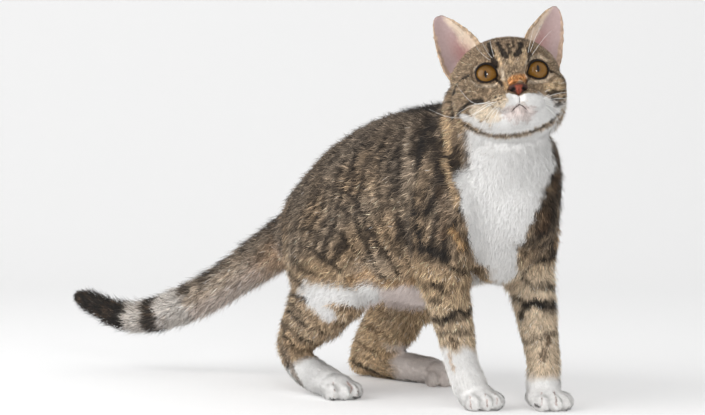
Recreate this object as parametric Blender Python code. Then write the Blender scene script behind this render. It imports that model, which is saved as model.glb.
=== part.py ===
# A life-size standing shorthaired cat, as a still model. It faces -Y with its head turned to its right and
# raised, its left side is +X, and its feet rest on Z = 0. Every size is in metres and includes the coat.

import math

import bmesh
import bpy
import numpy as np
from mathutils import Matrix, Vector
from mathutils.bvhtree import BVHTree

# Driving dimensions
CUT = 0.0003  # gap between touching pieces
VOXEL = 0.0014  # grid on which the forms are fused
RING_SIDES = 28  # corners of a ring of a trunk, neck, limb or tail
SPLINE_STEPS = 6  # rings between two stations
FLOOR_SINK = 0.0015  # how far a sole is pressed past the floor before it is cut flat
EYE_RADIUS = 0.0110
LID_THICKNESS = 0.0016

# Head pose: place of the skull's centre, then turn about Z, X and Y in degrees
HEAD_AT = Vector((-0.0155, -0.0100, 0.2745))
HEAD_TURN = -32.0
HEAD_PITCH = -14.0
HEAD_ROLL = -4.0

# Stations are (x, y, z, half width, half depth), front or top end first
TRUNK = (
    (0.000, -0.008, 0.172, 0.034, 0.036),
    (0.000, 0.008, 0.177, 0.046, 0.058),
    (0.001, 0.037, 0.1845, 0.053, 0.0765),
    (0.001, 0.075, 0.183, 0.060, 0.081),
    (0.001, 0.120, 0.178, 0.066, 0.084),
    (0.000, 0.165, 0.171, 0.069, 0.082),
    (0.000, 0.205, 0.164, 0.066, 0.075),
    (-0.001, 0.243, 0.155, 0.060, 0.063),
    (-0.002, 0.278, 0.147, 0.050, 0.049),
    (-0.003, 0.305, 0.140, 0.036, 0.032),
)
NECK = (
    (0.004, 0.062, 0.206, 0.054, 0.0575),
    (0.000, 0.035, 0.227, 0.050, 0.0510),
    (-0.007, 0.012, 0.245, 0.046, 0.045),
    (-0.014, 0.000, 0.262, 0.044, 0.042),
)
CHEST = (
    (-0.006, 0.004, 0.236, 0.040, 0.030),
    (0.000, -0.002, 0.205, 0.044, 0.032),
    (0.004, 0.006, 0.165, 0.042, 0.034),
    (0.005, 0.024, 0.132, 0.034, 0.026),
)
TAIL = (
    (-0.002, 0.288, 0.154, 0.027, 0.028),
    (-0.005, 0.328, 0.1400, 0.0250, 0.0255),
    (-0.016, 0.363, 0.119, 0.0235, 0.0240),
    (-0.032, 0.388, 0.100, 0.0220, 0.0220),
    (-0.052, 0.410, 0.082, 0.0212, 0.0212),
    (-0.072, 0.434, 0.067, 0.0200, 0.0200),
    (-0.088, 0.464, 0.058, 0.0182, 0.0182),
    (-0.101, 0.495, 0.0575, 0.0155, 0.0155),
    (-0.114, 0.525, 0.0672, 0.0130, 0.0130),
    (-0.1215, 0.5385, 0.0730, 0.0112, 0.0112),
)
FORELEGS = {
    "right": {
        "shoulder": ((-0.034, 0.064, 0.222, 0.016, 0.026), (-0.044, 0.040, 0.180, 0.024, 0.040),
                     (-0.048, 0.038, 0.140, 0.024, 0.036), (-0.046, 0.040, 0.112, 0.020, 0.026)),
        "forearm": ((-0.046, 0.038, 0.128, 0.022, 0.028), (-0.042, 0.038, 0.098, 0.0195, 0.0225),
                    (-0.032, 0.040, 0.068, 0.0165, 0.0185), (-0.023, 0.042, 0.040, 0.0148, 0.0155),
                    (-0.018, 0.037, 0.020, 0.0155, 0.0155)),
        "paw": (-0.016, 0.031, 4.0),
    },
    "left": {
        "shoulder": ((0.034, 0.064, 0.222, 0.016, 0.026), (0.041, 0.040, 0.180, 0.022, 0.038),
                     (0.045, 0.036, 0.140, 0.022, 0.035), (0.044, 0.038, 0.112, 0.020, 0.025)),
        "forearm": ((0.045, 0.036, 0.128, 0.021, 0.028), (0.0460, 0.029, 0.098, 0.0200, 0.0225),
                    (0.0412, 0.016, 0.068, 0.0170, 0.0185), (0.036, 0.003, 0.040, 0.0147, 0.0152),
                    (0.032, -0.001, 0.020, 0.0152, 0.0155)),
        "paw": (0.0295, -0.0055, 4.0),
    },
}
HINDLEGS = {
    "right": {
        "thigh": ((-0.030, 0.250, 0.175, 0.022, 0.034), (-0.040, 0.232, 0.150, 0.030, 0.050),
                  (-0.050, 0.203, 0.122, 0.029, 0.054), (-0.058, 0.170, 0.097, 0.022, 0.032),
                  (-0.062, 0.153, 0.087, 0.017, 0.018)),
        "shank": ((-0.060, 0.165, 0.096, 0.020, 0.028), (-0.062, 0.200, 0.082, 0.023, 0.036),
                  (-0.062, 0.2255, 0.062, 0.019, 0.0265), (-0.061, 0.2425, 0.045, 0.0165, 0.0178)),
        "foot": ((-0.061, 0.2460, 0.043, 0.0150, 0.0148), (-0.063, 0.228, 0.026, 0.0150, 0.0160),
                 (-0.065, 0.200, 0.017, 0.0160, 0.0150), (-0.066, 0.180, 0.014, 0.0160, 0.0130)),
        "paw": (-0.066, 0.169, 3.0),
    },
    "left": {
        "thigh": ((0.028, 0.250, 0.175, 0.022, 0.034), (0.038, 0.242, 0.150, 0.030, 0.048),
                  (0.052, 0.235, 0.118, 0.028, 0.050), (0.064, 0.222, 0.086, 0.022, 0.034),
                  (0.068, 0.216, 0.074, 0.017, 0.020)),
        "shank": ((0.066, 0.236, 0.080, 0.020, 0.030), (0.069, 0.262, 0.062, 0.021, 0.034),
                  (0.071, 0.290, 0.042, 0.018, 0.026), (0.072, 0.312, 0.026, 0.016, 0.017)),
        "foot": ((0.072, 0.318, 0.017, 0.0145, 0.0160), (0.074, 0.280, 0.015, 0.0145, 0.0150),
                 (0.076, 0.240, 0.014, 0.0150, 0.0140), (0.078, 0.218, 0.0135, 0.0155, 0.0130)),
        "paw": (0.079, 0.206, -3.0),
    },
}
FLANKS = (
    ((0.000, 0.130, 0.118), (0.058, 0.050, 0.034)),
    ((0.046, 0.185, 0.104), (0.024, 0.045, 0.026)),
    ((-0.042, 0.165, 0.106), (0.022, 0.040, 0.026)),
    ((0.000, 0.215, 0.125), (0.060, 0.060, 0.040)),
)
PAW_PALM = (0.0165, 0.0175, 0.0120)
TOE_SIZE = (0.0057, 0.0118, 0.0088)
TOE_SIDE = (-0.0131, -0.0045, 0.0045, 0.0131)
TOE_FORWARD = (0.0085, 0.0145, 0.0145, 0.0085)
TOE_HEIGHT = 0.0088
TOE_SPLAY = 700.0  # degrees of turn per metre away from the paw's middle

# Head forms in the head's own frame, as (side, back, up): centre and half sizes. A side of 0 is one form,
# any other is a pair.
HEAD_FORMS = {
    "cranium": ((0.0, 0.004, 0.006), (0.0470, 0.0470, 0.0375)),
    "brow": ((0.0, -0.016, 0.013), (0.0370, 0.0240, 0.0240)),
    "cheek": ((0.0262, -0.003, -0.009), (0.0228, 0.0295, 0.0275)),
    "ruff": ((0.0290, 0.0200, -0.0100), (0.0225, 0.0230, 0.0290)),
    "cheekbone": ((0.0300, -0.016, -0.006), (0.0170, 0.0180, 0.0160)),
    "muzzle": ((0.0, -0.030, -0.023), (0.0250, 0.0205, 0.0160)),
    "whisker_pad": ((0.0100, -0.0395, -0.0240), (0.0130, 0.0125, 0.0098)),
    "chin": ((0.0, -0.0345, -0.0365), (0.0120, 0.0118, 0.0088)),
    "jaw": ((0.0, -0.012, -0.031), (0.0365, 0.0300, 0.0200)),
}
NOSE_BRIDGE = (
    (0.0, -0.0200, 0.0120, 0.0140, 0.0100),
    (0.0, -0.0310, 0.0030, 0.0110, 0.0085),
    (0.0, -0.0390, -0.0040, 0.0085, 0.0080),
    (0.0, -0.0455, -0.0110, 0.0080, 0.0068),
)
EYE_AT = (0.0206, -0.0242, 0.0042)
EYE_OUTWARD = 9.0  # degrees that an eye looks away from the face's middle
EYE_OPENING = (0.0088, 0.0079)
EYE_CORNER = (0.0034, 3.55, 0.42)  # reach, angle and spread of the opening's inner corner
NOSE_AT = (0.0, -0.0500, -0.0150)
NOSE_SIZE = (0.0080, 0.0050, 0.0052)
EAR_INNER_EDGE = (
    (0.0160, 0.003, 0.0300), (0.0190, 0.003, 0.0440), (0.0255, 0.0035, 0.0525), (0.0335, 0.005, 0.0605),
    (0.0405, 0.007, 0.0668), (0.0455, 0.008, 0.0702), (0.0490, 0.008, 0.0715),
)
EAR_OUTER_EDGE = (
    (0.0440, 0.010, 0.0040), (0.0530, 0.008, 0.0200), (0.0565, 0.007, 0.0350), (0.0588, 0.007, 0.0480),
    (0.0590, 0.007, 0.0590), (0.0578, 0.008, 0.0660), (0.0550, 0.008, 0.0700),
)
EAR_BACK = (-0.30, 1.0, 0.0)
EAR_CUP = 0.0150
EAR_THICKNESS = 0.0030
EAR_COLUMNS = 15
# Scales of the left and the right ear: the left one stands closer in and higher
EAR_SPREAD = {1: 0.945, -1: 1.0}
EAR_RISE = {1: 1.035, -1: 1.0}


# Surface work
SOFTEN = 0.5
SOFTEN_BODY = 45  # rounds of smoothing away from the head and paws
SOFTEN_ALL = 7
DOME = (75, 50, 25)  # degrees of the rings that close a tube's end
WEIGHT_LEVELS = 20
HEAD_REACH = np.array((0.066, 0.062, 0.072))
HEAD_FADE = 0.35
PAW_TOP = 0.020
PAW_FADE = 0.030
PAW_REACH = 0.026
EAR_LOW = 0.036
EAR_WIDE = 0.064
TAIL_FROM = 0.325
# How much of the surface's detail each place keeps, from 0 to 1
DETAIL = {"face": 0.8, "head": 0.35, "ear": 0.6, "paw": 0.45, "tail": 0.22, "body": 0.03}
FACE_AT = np.array((0.0, -0.036, -0.014))
FACE_REACH = np.array((0.040, 0.026, 0.032))
SOLE_SNAP = 0.0007
WHOLE_FACES = 8200
MOUTH_LINE = (
    (0.0, -0.0530, -0.0200), (0.0, -0.0510, -0.0250), (0.0, -0.0480, -0.0285), (0.0050, -0.0480, -0.0320),
    (0.0090, -0.0450, -0.0355), (0.0130, -0.0400, -0.0385), (0.0170, -0.0330, -0.0395),
)
MOUTH_REACH = 0.0027
MOUTH_DEPTH = 0.0024
NOSE_PAD = (0.0082, 0.0060, 0.0050)
NOSTRIL_AT = (0.0046, -0.0552, -0.0162)
NOSTRIL = (0.0021, 0.0030, 0.0013)
NOSTRIL_TILT = 28.0
OPENING_SIDES = 26

# Flat cuts: middle, direction of the thickness, direction of the first half size, half sizes
CUTS = (
    ((-0.008, 0.010, 0.2435), (0, -0.436, 0.90), (1, 0, 0), (0.085, 0.078)),
    ((0.000, 0.025, 0.2285), (0, -0.528, 0.849), (1, 0, 0), (0.085, 0.092)),
    ((-0.004, 0.316, 0.144), (-0.05, 0.93, -0.36), (1, 0, 0), (0.045, 0.045)),
    ((-0.049, 0.407, 0.085), (-0.56, 0.61, -0.55), (1, 0, 0), (0.045, 0.040)),
    ((-0.092, 0.474, 0.057), (-0.40, 0.91, -0.10), (1, 0, 0), (0.035, 0.035)),
    ((-0.045, 0.040, 0.108), (0, 0, 1), (1, 0, 0), (0.035, 0.045)),
    ((0.044, 0.032, 0.108), (0, 0, 1), (1, 0, 0), (0.038, 0.045)),
    ((-0.021, 0.040, 0.031), (0, 0, 1), (1, 0, 0), (0.026, 0.035)),
    ((0.034, 0.001, 0.031), (0, 0, 1), (1, 0, 0), (0.024, 0.030)),
    ((-0.066, 0.205, 0.085), (0, 0, 1), (1, 0, 0), (0.040, 0.085)),
    ((0.072, 0.245, 0.070), (0, 0, 1), (1, 0, 0), (0.040, 0.085)),
    ((-0.062, 0.228, 0.040), (0, -0.14, 0.99), (1, 0, 0), (0.035, 0.052)),
    ((0.073, 0.292, 0.0315), (0, 0.03, 1.0), (1, 0, 0), (0.035, 0.062)),
    ((-0.066, 0.188, 0.020), (0, 1, 0), (1, 0, 0), (0.030, 0.030)),
    ((0.078, 0.222, 0.020), (0, 1, 0), (1, 0, 0), (0.030, 0.030)),
)
# Curved cuts at the tops of the legs: middle, half sizes, height of the open lower rim
BOWLS = (
    ((-0.060, 0.042, 0.146), (0.028, 0.040, 0.066), 0.108),
    ((0.060, 0.040, 0.146), (0.028, 0.040, 0.066), 0.108),
    ((-0.070, 0.205, 0.105), (0.034, 0.066, 0.066), 0.085),
    ((0.070, 0.236, 0.098), (0.034, 0.072, 0.075), 0.070),
)
EAR_CUT_AT = (0.0365, 0.010, 0.0345)
EAR_CUT_NORMAL = (0.67, 0.0, 0.74)
EAR_CUT_HALF = (0.030, 0.036)
# A point inside each piece; those of the head and ears are in the head's frame
ANCHORS = {
    "torso": (0.0, 0.150, 0.170),
    "neck": (-0.004, 0.030, 0.236),
    "head": (0.0, 0.010, 0.010),
    "ear_left": (0.0480, 0.0170, 0.0480),
    "ear_right": (-0.0480, 0.0170, 0.0480),
    "tail_base": (-0.016, 0.363, 0.119),
    "tail_middle": (-0.072, 0.434, 0.067),
    "tail_tip": (-0.107, 0.510, 0.061),
    "shoulder_right": (-0.058, 0.042, 0.150),
    "shoulder_left": (0.056, 0.040, 0.150),
    "forearm_right": (-0.032, 0.040, 0.068),
    "forearm_left": (0.042, 0.016, 0.068),
    "front_paw_right": (-0.018, 0.037, 0.015),
    "front_paw_left": (0.031, -0.001, 0.015),
    "thigh_right": (-0.066, 0.200, 0.120),
    "thigh_left": (0.070, 0.232, 0.105),
    "shank_right": (-0.062, 0.220, 0.066),
    "shank_left": (0.071, 0.275, 0.050),
    "hock_right": (-0.064, 0.215, 0.022),
    "hock_left": (0.074, 0.280, 0.015),
    "hind_paw_right": (-0.066, 0.170, 0.012),
    "hind_paw_left": (0.079, 0.206, 0.012),
}

# Moves the whole so that its box stands on the origin
TO_CENTRE = (0.0170, -0.2413, 0.0)

# Colours as sRGB, 0 to 255
COLOURS = {
    "torso": (84, 74, 63),
    "neck": (120, 104, 88),
    "head": (142, 120, 98),
    "ear_left": (174, 154, 140),
    "ear_right": (174, 154, 140),
    "eye_left": (143, 103, 55),
    "eye_right": (143, 103, 55),
    "nose": (160, 82, 62),
    "tail_base": (96, 84, 72),
    "tail_middle": (154, 138, 125),
    "tail_tip": (33, 33, 31),
    "shoulder_right": (80, 73, 58),
    "shoulder_left": (100, 88, 72),
    "forearm_right": (170, 148, 118),
    "forearm_left": (170, 148, 118),
    "front_paw_right": (223, 222, 219),
    "front_paw_left": (223, 222, 219),
    "thigh_right": (96, 86, 72),
    "thigh_left": (131, 114, 100),
    "shank_right": (120, 104, 86),
    "shank_left": (131, 114, 100),
    "hock_right": (195, 186, 176),
    "hock_left": (182, 172, 167),
    "hind_paw_right": (215, 213, 209),
    "hind_paw_left": (215, 213, 209),
}
ROUGHNESS = {"eye_left": 0.08, "eye_right": 0.08, "nose": 0.45}


def clear_scene():
    for item in list(bpy.data.objects):
        bpy.data.objects.remove(item)


def head_frame():
    turn = Matrix.Rotation(math.radians(HEAD_TURN), 4, "Z")
    pitch = Matrix.Rotation(math.radians(HEAD_PITCH), 4, "X")
    roll = Matrix.Rotation(math.radians(HEAD_ROLL), 4, "Y")
    return Matrix.Translation(HEAD_AT) @ turn @ pitch @ roll


def smooth_rows(stations, steps):
    rows = np.array(stations, float)
    padded = np.vstack([2 * rows[0] - rows[1], rows, 2 * rows[-1] - rows[-2]])
    made = []
    for before, start, end, after in zip(padded, padded[1:], padded[2:], padded[3:]):
        for t in np.arange(steps) / steps:
            made.append(
                start
                + 0.5 * t * (end - before)
                + t * t * (before - 2.5 * start + 2 * end - 0.5 * after)
                + t**3 * (1.5 * (start - end) + 0.5 * (after - before))
            )
    made.append(rows[-1])
    return np.array(made)


def add_tube(form, stations, frame=Matrix.Identity(4)):
    """Adds a closed round form through the stations, with a domed end at each side."""
    rows = smooth_rows(stations, SPLINE_STEPS)
    centres = rows[:, :3]
    along = np.gradient(centres, axis=0)
    along /= np.linalg.norm(along, axis=1)[:, None]
    rings = []
    dome = np.radians(DOME)
    for turn in dome:
        reach = rows[0, 3:].min() * math.sin(turn)
        rings.append((centres[0] - along[0] * reach, along[0], rows[0, 3:] * math.cos(turn)))
    rings += [(c, a, r) for c, a, r in zip(centres, along, rows[:, 3:])]
    for turn in dome[::-1]:
        reach = rows[-1, 3:].min() * math.sin(turn)
        rings.append((centres[-1] + along[-1] * reach, along[-1], rows[-1, 3:] * math.cos(turn)))
    loops = []
    for centre, direction, (wide, deep) in rings:
        side = np.array((1.0, 0.0, 0.0)) - direction[0] * direction
        side /= np.linalg.norm(side)
        depth = np.cross(direction, side)
        angles = np.arange(RING_SIDES) * 2 * math.pi / RING_SIDES
        points = centre + np.outer(np.cos(angles) * wide, side) + np.outer(np.sin(angles) * deep, depth)
        loops.append([form.verts.new(frame @ Vector(p)) for p in points])
    for near, far in zip(loops, loops[1:]):
        for i in range(RING_SIDES):
            j = (i + 1) % RING_SIDES
            form.faces.new((near[i], near[j], far[j], far[i]))
    form.faces.new(loops[0][::-1])
    form.faces.new(loops[-1])


def add_ball(form, at, half, frame=Matrix.Identity(4), turn=0.0):
    place = frame @ Matrix.Translation(at) @ Matrix.Rotation(math.radians(turn), 4, "Z")
    shape = place @ Matrix.Diagonal((*half, 1.0))
    bmesh.ops.create_uvsphere(form, u_segments=32, v_segments=20, radius=1.0, matrix=shape)


def add_paw(form, x, y, turn):
    place = Matrix.Translation((x, y, 0.0)) @ Matrix.Rotation(math.radians(turn), 4, "Z")
    add_ball(form, (0.0, 0.0, 0.0115), PAW_PALM, place)
    for side, ahead in zip(TOE_SIDE, TOE_FORWARD):
        add_ball(form, (side, -ahead, TOE_HEIGHT - FLOOR_SINK), TOE_SIZE, place, turn=side * TOE_SPLAY)


def add_ear(form, frame, side):
    """Adds a cupped ear: a sheet between its two edges, bulging backward, then thickened."""
    inner = smooth_rows(EAR_INNER_EDGE, 3) * (1.0, 1.0, EAR_RISE[side])
    outer = smooth_rows(EAR_OUTER_EDGE, 3) * (EAR_SPREAD[side], 1.0, EAR_RISE[side])
    back = np.array(EAR_BACK) / np.linalg.norm(EAR_BACK)
    sheet = bmesh.new()
    rows = []
    for step, (near, far) in enumerate(zip(inner, outer)):
        up = step / (len(inner) - 1)
        depth = EAR_CUP * (1.0 - up) ** 0.8
        across = np.linspace(0.0, 1.0, EAR_COLUMNS)[:, None]
        bulge = np.sin(across * math.pi) ** 0.8 * depth
        points = near * (1 - across) + far * across + bulge * back
        rows.append([sheet.verts.new((p[0] * side, p[1], p[2])) for p in points])
    for low, high in zip(rows, rows[1:]):
        for i in range(EAR_COLUMNS - 1):
            sheet.faces.new((low[i], low[i + 1], high[i + 1], high[i]))
    bmesh.ops.recalc_face_normals(sheet, faces=sheet.faces)
    bmesh.ops.solidify(sheet, geom=list(sheet.faces), thickness=EAR_THICKNESS)
    bmesh.ops.transform(sheet, matrix=frame, verts=sheet.verts)
    made = bpy.data.meshes.new("ear_sheet")
    sheet.to_mesh(made)
    sheet.free()
    form.from_mesh(made)
    bpy.data.meshes.remove(made)


def object_of(name, form):
    bmesh.ops.recalc_face_normals(form, faces=form.faces)
    mesh = bpy.data.meshes.new(name)
    form.to_mesh(mesh)
    form.free()
    made = bpy.data.objects.new(name, mesh)
    bpy.context.collection.objects.link(made)
    return made


def apply_modifiers(item):
    graph = bpy.context.evaluated_depsgraph_get()
    mesh = bpy.data.meshes.new_from_object(item.evaluated_get(graph))
    item.modifiers.clear()
    item.data = mesh


def body_forms():
    form = bmesh.new()
    for stations in (TRUNK, NECK, CHEST, TAIL):
        add_tube(form, stations)
    for leg in FORELEGS.values():
        add_tube(form, leg["shoulder"])
        add_tube(form, leg["forearm"])
        add_paw(form, *leg["paw"])
    for leg in HINDLEGS.values():
        add_tube(form, leg["thigh"])
        add_tube(form, leg["shank"])
        add_tube(form, leg["foot"])
        add_paw(form, *leg["paw"])
    for at, half in FLANKS:
        add_ball(form, at, half)
    return form


def add_head(form):
    frame = head_frame()
    for at, half in HEAD_FORMS.values():
        for side in (1, -1) if at[0] else (1,):
            add_ball(form, (at[0] * side, at[1], at[2]), half, frame)
    add_tube(form, NOSE_BRIDGE, frame)
    for side in (1, -1):
        add_ball(form, (EYE_AT[0] * side, *EYE_AT[1:]), (EYE_RADIUS + LID_THICKNESS,) * 3, frame)
        add_ear(form, frame, side)
    add_ball(form, NOSE_AT, NOSE_SIZE, frame)


def points_of(mesh):
    flat = np.empty(len(mesh.vertices) * 3)
    mesh.vertices.foreach_get("co", flat)
    return flat.reshape(-1, 3)


def in_head(points):
    """Points in the head's own frame."""
    inverse = np.array(head_frame().inverted())
    return points @ inverse[:3, :3].T + inverse[:3, 3]


def weigh(item, name, weights):
    group = item.vertex_groups.new(name=name)
    levels = np.round(weights * WEIGHT_LEVELS).astype(int)
    for level in np.unique(levels):
        group.add(np.flatnonzero(levels == level).tolist(), float(level / WEIGHT_LEVELS), "REPLACE")
    return group.name


def fuse_forms():
    form = body_forms()
    add_head(form)
    whole = object_of("whole", form)
    remesh = whole.modifiers.new("fuse", "REMESH")
    remesh.mode = "VOXEL"
    remesh.voxel_size = VOXEL
    apply_modifiers(whole)
    points = points_of(whole.data)
    local = in_head(points)
    away = np.clip((np.linalg.norm(local / HEAD_REACH, axis=1) - 1.0) / HEAD_FADE, 0.0, 1.0)
    paws = np.clip((points[:, 2] - PAW_TOP) / PAW_FADE, 0.0, 1.0)
    broad = whole.modifiers.new("soften_body", "SMOOTH")
    broad.factor = SOFTEN
    broad.iterations = SOFTEN_BODY
    broad.vertex_group = weigh(whole, "body", np.minimum(away, paws))
    fine = whole.modifiers.new("soften_all", "SMOOTH")
    fine.factor = SOFTEN
    fine.iterations = SOFTEN_ALL
    apply_modifiers(whole)
    return whole


def press(whole, path, reach, depth):
    """Presses a groove into the surface along a path given in the head's frame."""
    points = points_of(whole.data)
    local = in_head(points)
    frame = head_frame()
    tree = BVHTree.FromPolygons([Vector(p) for p in points], [tuple(f.vertices) for f in whole.data.polygons])
    path = smooth_rows(path, 4)
    path = in_head(np.array([tree.find_nearest(frame @ Vector(p))[0] for p in path]))
    nearest = np.full(len(local), np.inf)
    for start, end in zip(path, path[1:]):
        along = end - start
        t = np.clip((local - start) @ along / (along @ along), 0.0, 1.0)
        nearest = np.minimum(nearest, np.linalg.norm(local - start - t[:, None] * along, axis=1))
    push = depth * np.clip(1.0 - nearest / reach, 0.0, 1.0) ** 1.2
    normals = np.empty(len(points) * 3)
    whole.data.vertices.foreach_get("normal", normals)
    points -= normals.reshape(-1, 3) * push[:, None]
    whole.data.vertices.foreach_set("co", points.ravel())


def flatten_soles(whole):
    points = points_of(whole.data)
    points[:, 2] = np.where(points[:, 2] < SOLE_SNAP, 0.0, points[:, 2])
    whole.data.vertices.foreach_set("co", points.ravel())
    whole.data.update()


def thin_out(whole):
    points = points_of(whole.data)
    local = in_head(points)
    face = DETAIL["face"] * np.clip(1.5 - np.linalg.norm((local - FACE_AT) / FACE_REACH, axis=1), 0.0, 1.0)
    head = DETAIL["head"] * np.clip(1.35 - np.linalg.norm(local / HEAD_REACH, axis=1), 0.0, 1.0)
    head = np.maximum(head, DETAIL["ear"] * ((local[:, 2] > EAR_LOW) & (np.abs(local[:, 0]) < EAR_WIDE)))
    rest = np.where(points[:, 1] > TAIL_FROM, DETAIL["tail"], DETAIL["body"])
    paws = np.zeros(len(points))
    for leg in (*FORELEGS.values(), *HINDLEGS.values()):
        apart = points - (leg["paw"][0], leg["paw"][1] - TOE_FORWARD[0], 0.0)
        paws = np.maximum(paws, DETAIL["paw"] * (np.linalg.norm(apart, axis=1) < PAW_REACH))
    fewer = whole.modifiers.new("fewer_faces", "DECIMATE")
    fewer.ratio = WHOLE_FACES / (2 * len(whole.data.polygons))
    fewer.vertex_group = weigh(whole, "detail", np.max([face, head, paws, rest], axis=0))
    fewer.invert_vertex_group = True
    fewer.vertex_group_factor = 1.0
    apply_modifiers(whole)


def cut_away(item, cutter):
    cut = item.modifiers.new("cut", "BOOLEAN")
    cut.operation = "DIFFERENCE"
    cut.object = cutter
    cut.solver = "EXACT"
    apply_modifiers(item)
    bpy.data.objects.remove(cutter)


def eye_frame(side):
    turn = Matrix.Rotation(math.radians(EYE_OUTWARD * side), 4, "Z")
    return head_frame() @ Matrix.Translation((EYE_AT[0] * side, *EYE_AT[1:])) @ turn


def ball_object(name, frame, half, turns=(24, 14)):
    form = bmesh.new()
    shape = frame @ Matrix.Diagonal((*half, 1.0))
    bmesh.ops.create_uvsphere(form, u_segments=turns[0], v_segments=turns[1], radius=1.0, matrix=shape)
    return object_of(name, form)


def lid_opening(side):
    """Makes the almond-shaped cutter that opens an eye's lids, flaring forward."""
    form = bmesh.new()
    angles = np.arange(OPENING_SIDES) * 2 * math.pi / OPENING_SIDES
    reach, corner, spread = EYE_CORNER
    point = np.exp(-(((angles - corner) / spread) ** 2)) * reach
    wide = np.cos(angles) * (EYE_OPENING[0] + point)
    high = np.sin(angles) * (EYE_OPENING[1] + point)
    frame = eye_frame(side)
    loops = []
    for ahead, scale in ((0.0030, 0.80), (0.0075, 1.0), (0.0200, 1.25)):
        loop = [form.verts.new(frame @ Vector((x * side * scale, -ahead, z * scale))) for x, z in zip(wide, high)]
        loops.append(loop)
    for near, far in zip(loops, loops[1:]):
        for i in range(OPENING_SIDES):
            j = (i + 1) % OPENING_SIDES
            form.faces.new((near[i], near[j], far[j], far[i]))
    form.faces.new(loops[0][::-1])
    form.faces.new(loops[-1])
    return object_of("opening", form)


def slab(at, normal, across, half):
    """Makes a thin box: its middle, the direction of its thickness, the direction of its first half size."""
    normal = Vector(normal).normalized()
    side = Vector(across) - Vector(across).dot(normal) * normal
    side.normalize()
    other = normal.cross(side)
    turn = Matrix((side, other, normal)).transposed().to_4x4()
    form = bmesh.new()
    shape = Matrix.Translation(at) @ turn @ Matrix.Diagonal((2 * half[0], 2 * half[1], CUT, 1.0))
    bmesh.ops.create_cube(form, size=1.0, matrix=shape)
    return object_of("slab", form)


def bowl(at, half, low):
    """Makes a thin egg-shaped shell, open below the height `low`."""
    form = bmesh.new()
    shape = Matrix.Translation(at) @ Matrix.Diagonal((*half, 1.0))
    bmesh.ops.create_uvsphere(form, u_segments=20, v_segments=14, radius=1.0, matrix=shape)
    everything = form.verts[:] + form.edges[:] + form.faces[:]
    bmesh.ops.bisect_plane(form, geom=everything, plane_co=(0, 0, low), plane_no=(0, 0, -1), clear_outer=True)
    bmesh.ops.recalc_face_normals(form, faces=form.faces)
    bmesh.ops.solidify(form, geom=list(form.faces), thickness=CUT)
    return object_of("bowl", form)


def part_body(whole):
    frame = head_frame()
    turn = frame.to_3x3()
    for at, normal, across, half in CUTS:
        cut_away(whole, slab(at, normal, across, half))
    for side in (1, -1):
        at = frame @ Vector((EAR_CUT_AT[0] * side, *EAR_CUT_AT[1:]))
        normal = turn @ Vector((EAR_CUT_NORMAL[0] * side, *EAR_CUT_NORMAL[1:]))
        cut_away(whole, slab(at, normal, turn @ Vector((0, 1, 0)), EAR_CUT_HALF))
    for at, half, low in BOWLS:
        cut_away(whole, bowl(at, half, low))


def islands_of(item):
    form = bmesh.new()
    form.from_mesh(item.data)
    bmesh.ops.triangulate(form, faces=form.faces)
    seen, groups = set(), []
    for vert in form.verts:
        if vert in seen:
            continue
        stack, group = [vert], []
        seen.add(vert)
        while stack:
            here = stack.pop()
            group.append(here)
            for edge in here.link_edges:
                there = edge.other_vert(here)
                if there not in seen:
                    seen.add(there)
                    stack.append(there)
        groups.append(group)
    made = []
    for group in groups:
        index = {vert: i for i, vert in enumerate(group)}
        faces = {face for vert in group for face in vert.link_faces}
        triangles = [[index[v] for v in face.verts] for face in faces]
        made.append(([v.co.copy() for v in group], sorted(triangles)))
    form.free()
    return made


def holds(tree, point):
    """Whether a closed surface encloses the point, by the crossings of a ray."""
    ray, crossings, start = Vector((0.037, 0.021, 0.999)).normalized(), 0, Vector(point)
    while True:
        hit = tree.ray_cast(start, ray)[0]
        if hit is None:
            return crossings % 2 == 1
        crossings += 1
        start = hit + ray * 1e-6


def name_islands(whole):
    frame = head_frame()
    islands = [(BVHTree.FromPolygons(verts, faces), verts, faces) for verts, faces in islands_of(whole)]
    made = {}
    for name, point in ANCHORS.items():
        at = frame @ Vector(point) if name.startswith(("head", "ear")) else Vector(point)
        around = [island for island in islands if holds(island[0], at)]
        tree, verts, faces = min(around or islands, key=lambda island: island[0].find_nearest(at)[3])
        mesh = bpy.data.meshes.new(name)
        mesh.from_pydata(verts, [], faces)
        made[name] = bpy.data.objects.new(name, mesh)
        bpy.context.collection.objects.link(made[name])
        islands.remove((tree, verts, faces))
    bpy.data.objects.remove(whole)
    return made


def add_eyes_and_nose(made):
    frame = head_frame()
    head = made["head"]
    for side, name in ((1, "eye_left"), (-1, "eye_right")):
        socket = (EYE_RADIUS + CUT,) * 3
        cut_away(head, ball_object("socket", eye_frame(side), socket))
        cut_away(head, lid_opening(side))
        made[name] = ball_object(name, eye_frame(side), (EYE_RADIUS,) * 3, (24, 14))
    at = frame @ Matrix.Translation(NOSE_AT)
    pad = ball_object("nose", at, NOSE_PAD, (20, 12))
    cut_away(head, ball_object("bed", at, [size + CUT for size in NOSE_PAD], (20, 12)))
    for side in (1, -1):
        place = (NOSTRIL_AT[0] * side, *NOSTRIL_AT[1:])
        tilt = Matrix.Rotation(math.radians(NOSTRIL_TILT * side), 4, "Y")
        cut_away(pad, ball_object("nostril", frame @ Matrix.Translation(place) @ tilt, NOSTRIL, (12, 8)))
    made["nose"] = pad


def colour(item):
    red, green, blue = COLOURS[item.name]
    linear = [((c / 255 + 0.055) / 1.055) ** 2.4 for c in (red, green, blue)]
    material = bpy.data.materials.new(item.name)
    material.use_nodes = True
    shader = material.node_tree.nodes["Principled BSDF"]
    shader.inputs["Base Color"].default_value = (*linear, 1.0)
    shader.inputs["Roughness"].default_value = ROUGHNESS.get(item.name, 0.8)
    item.data.materials.clear()
    item.data.materials.append(material)


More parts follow.
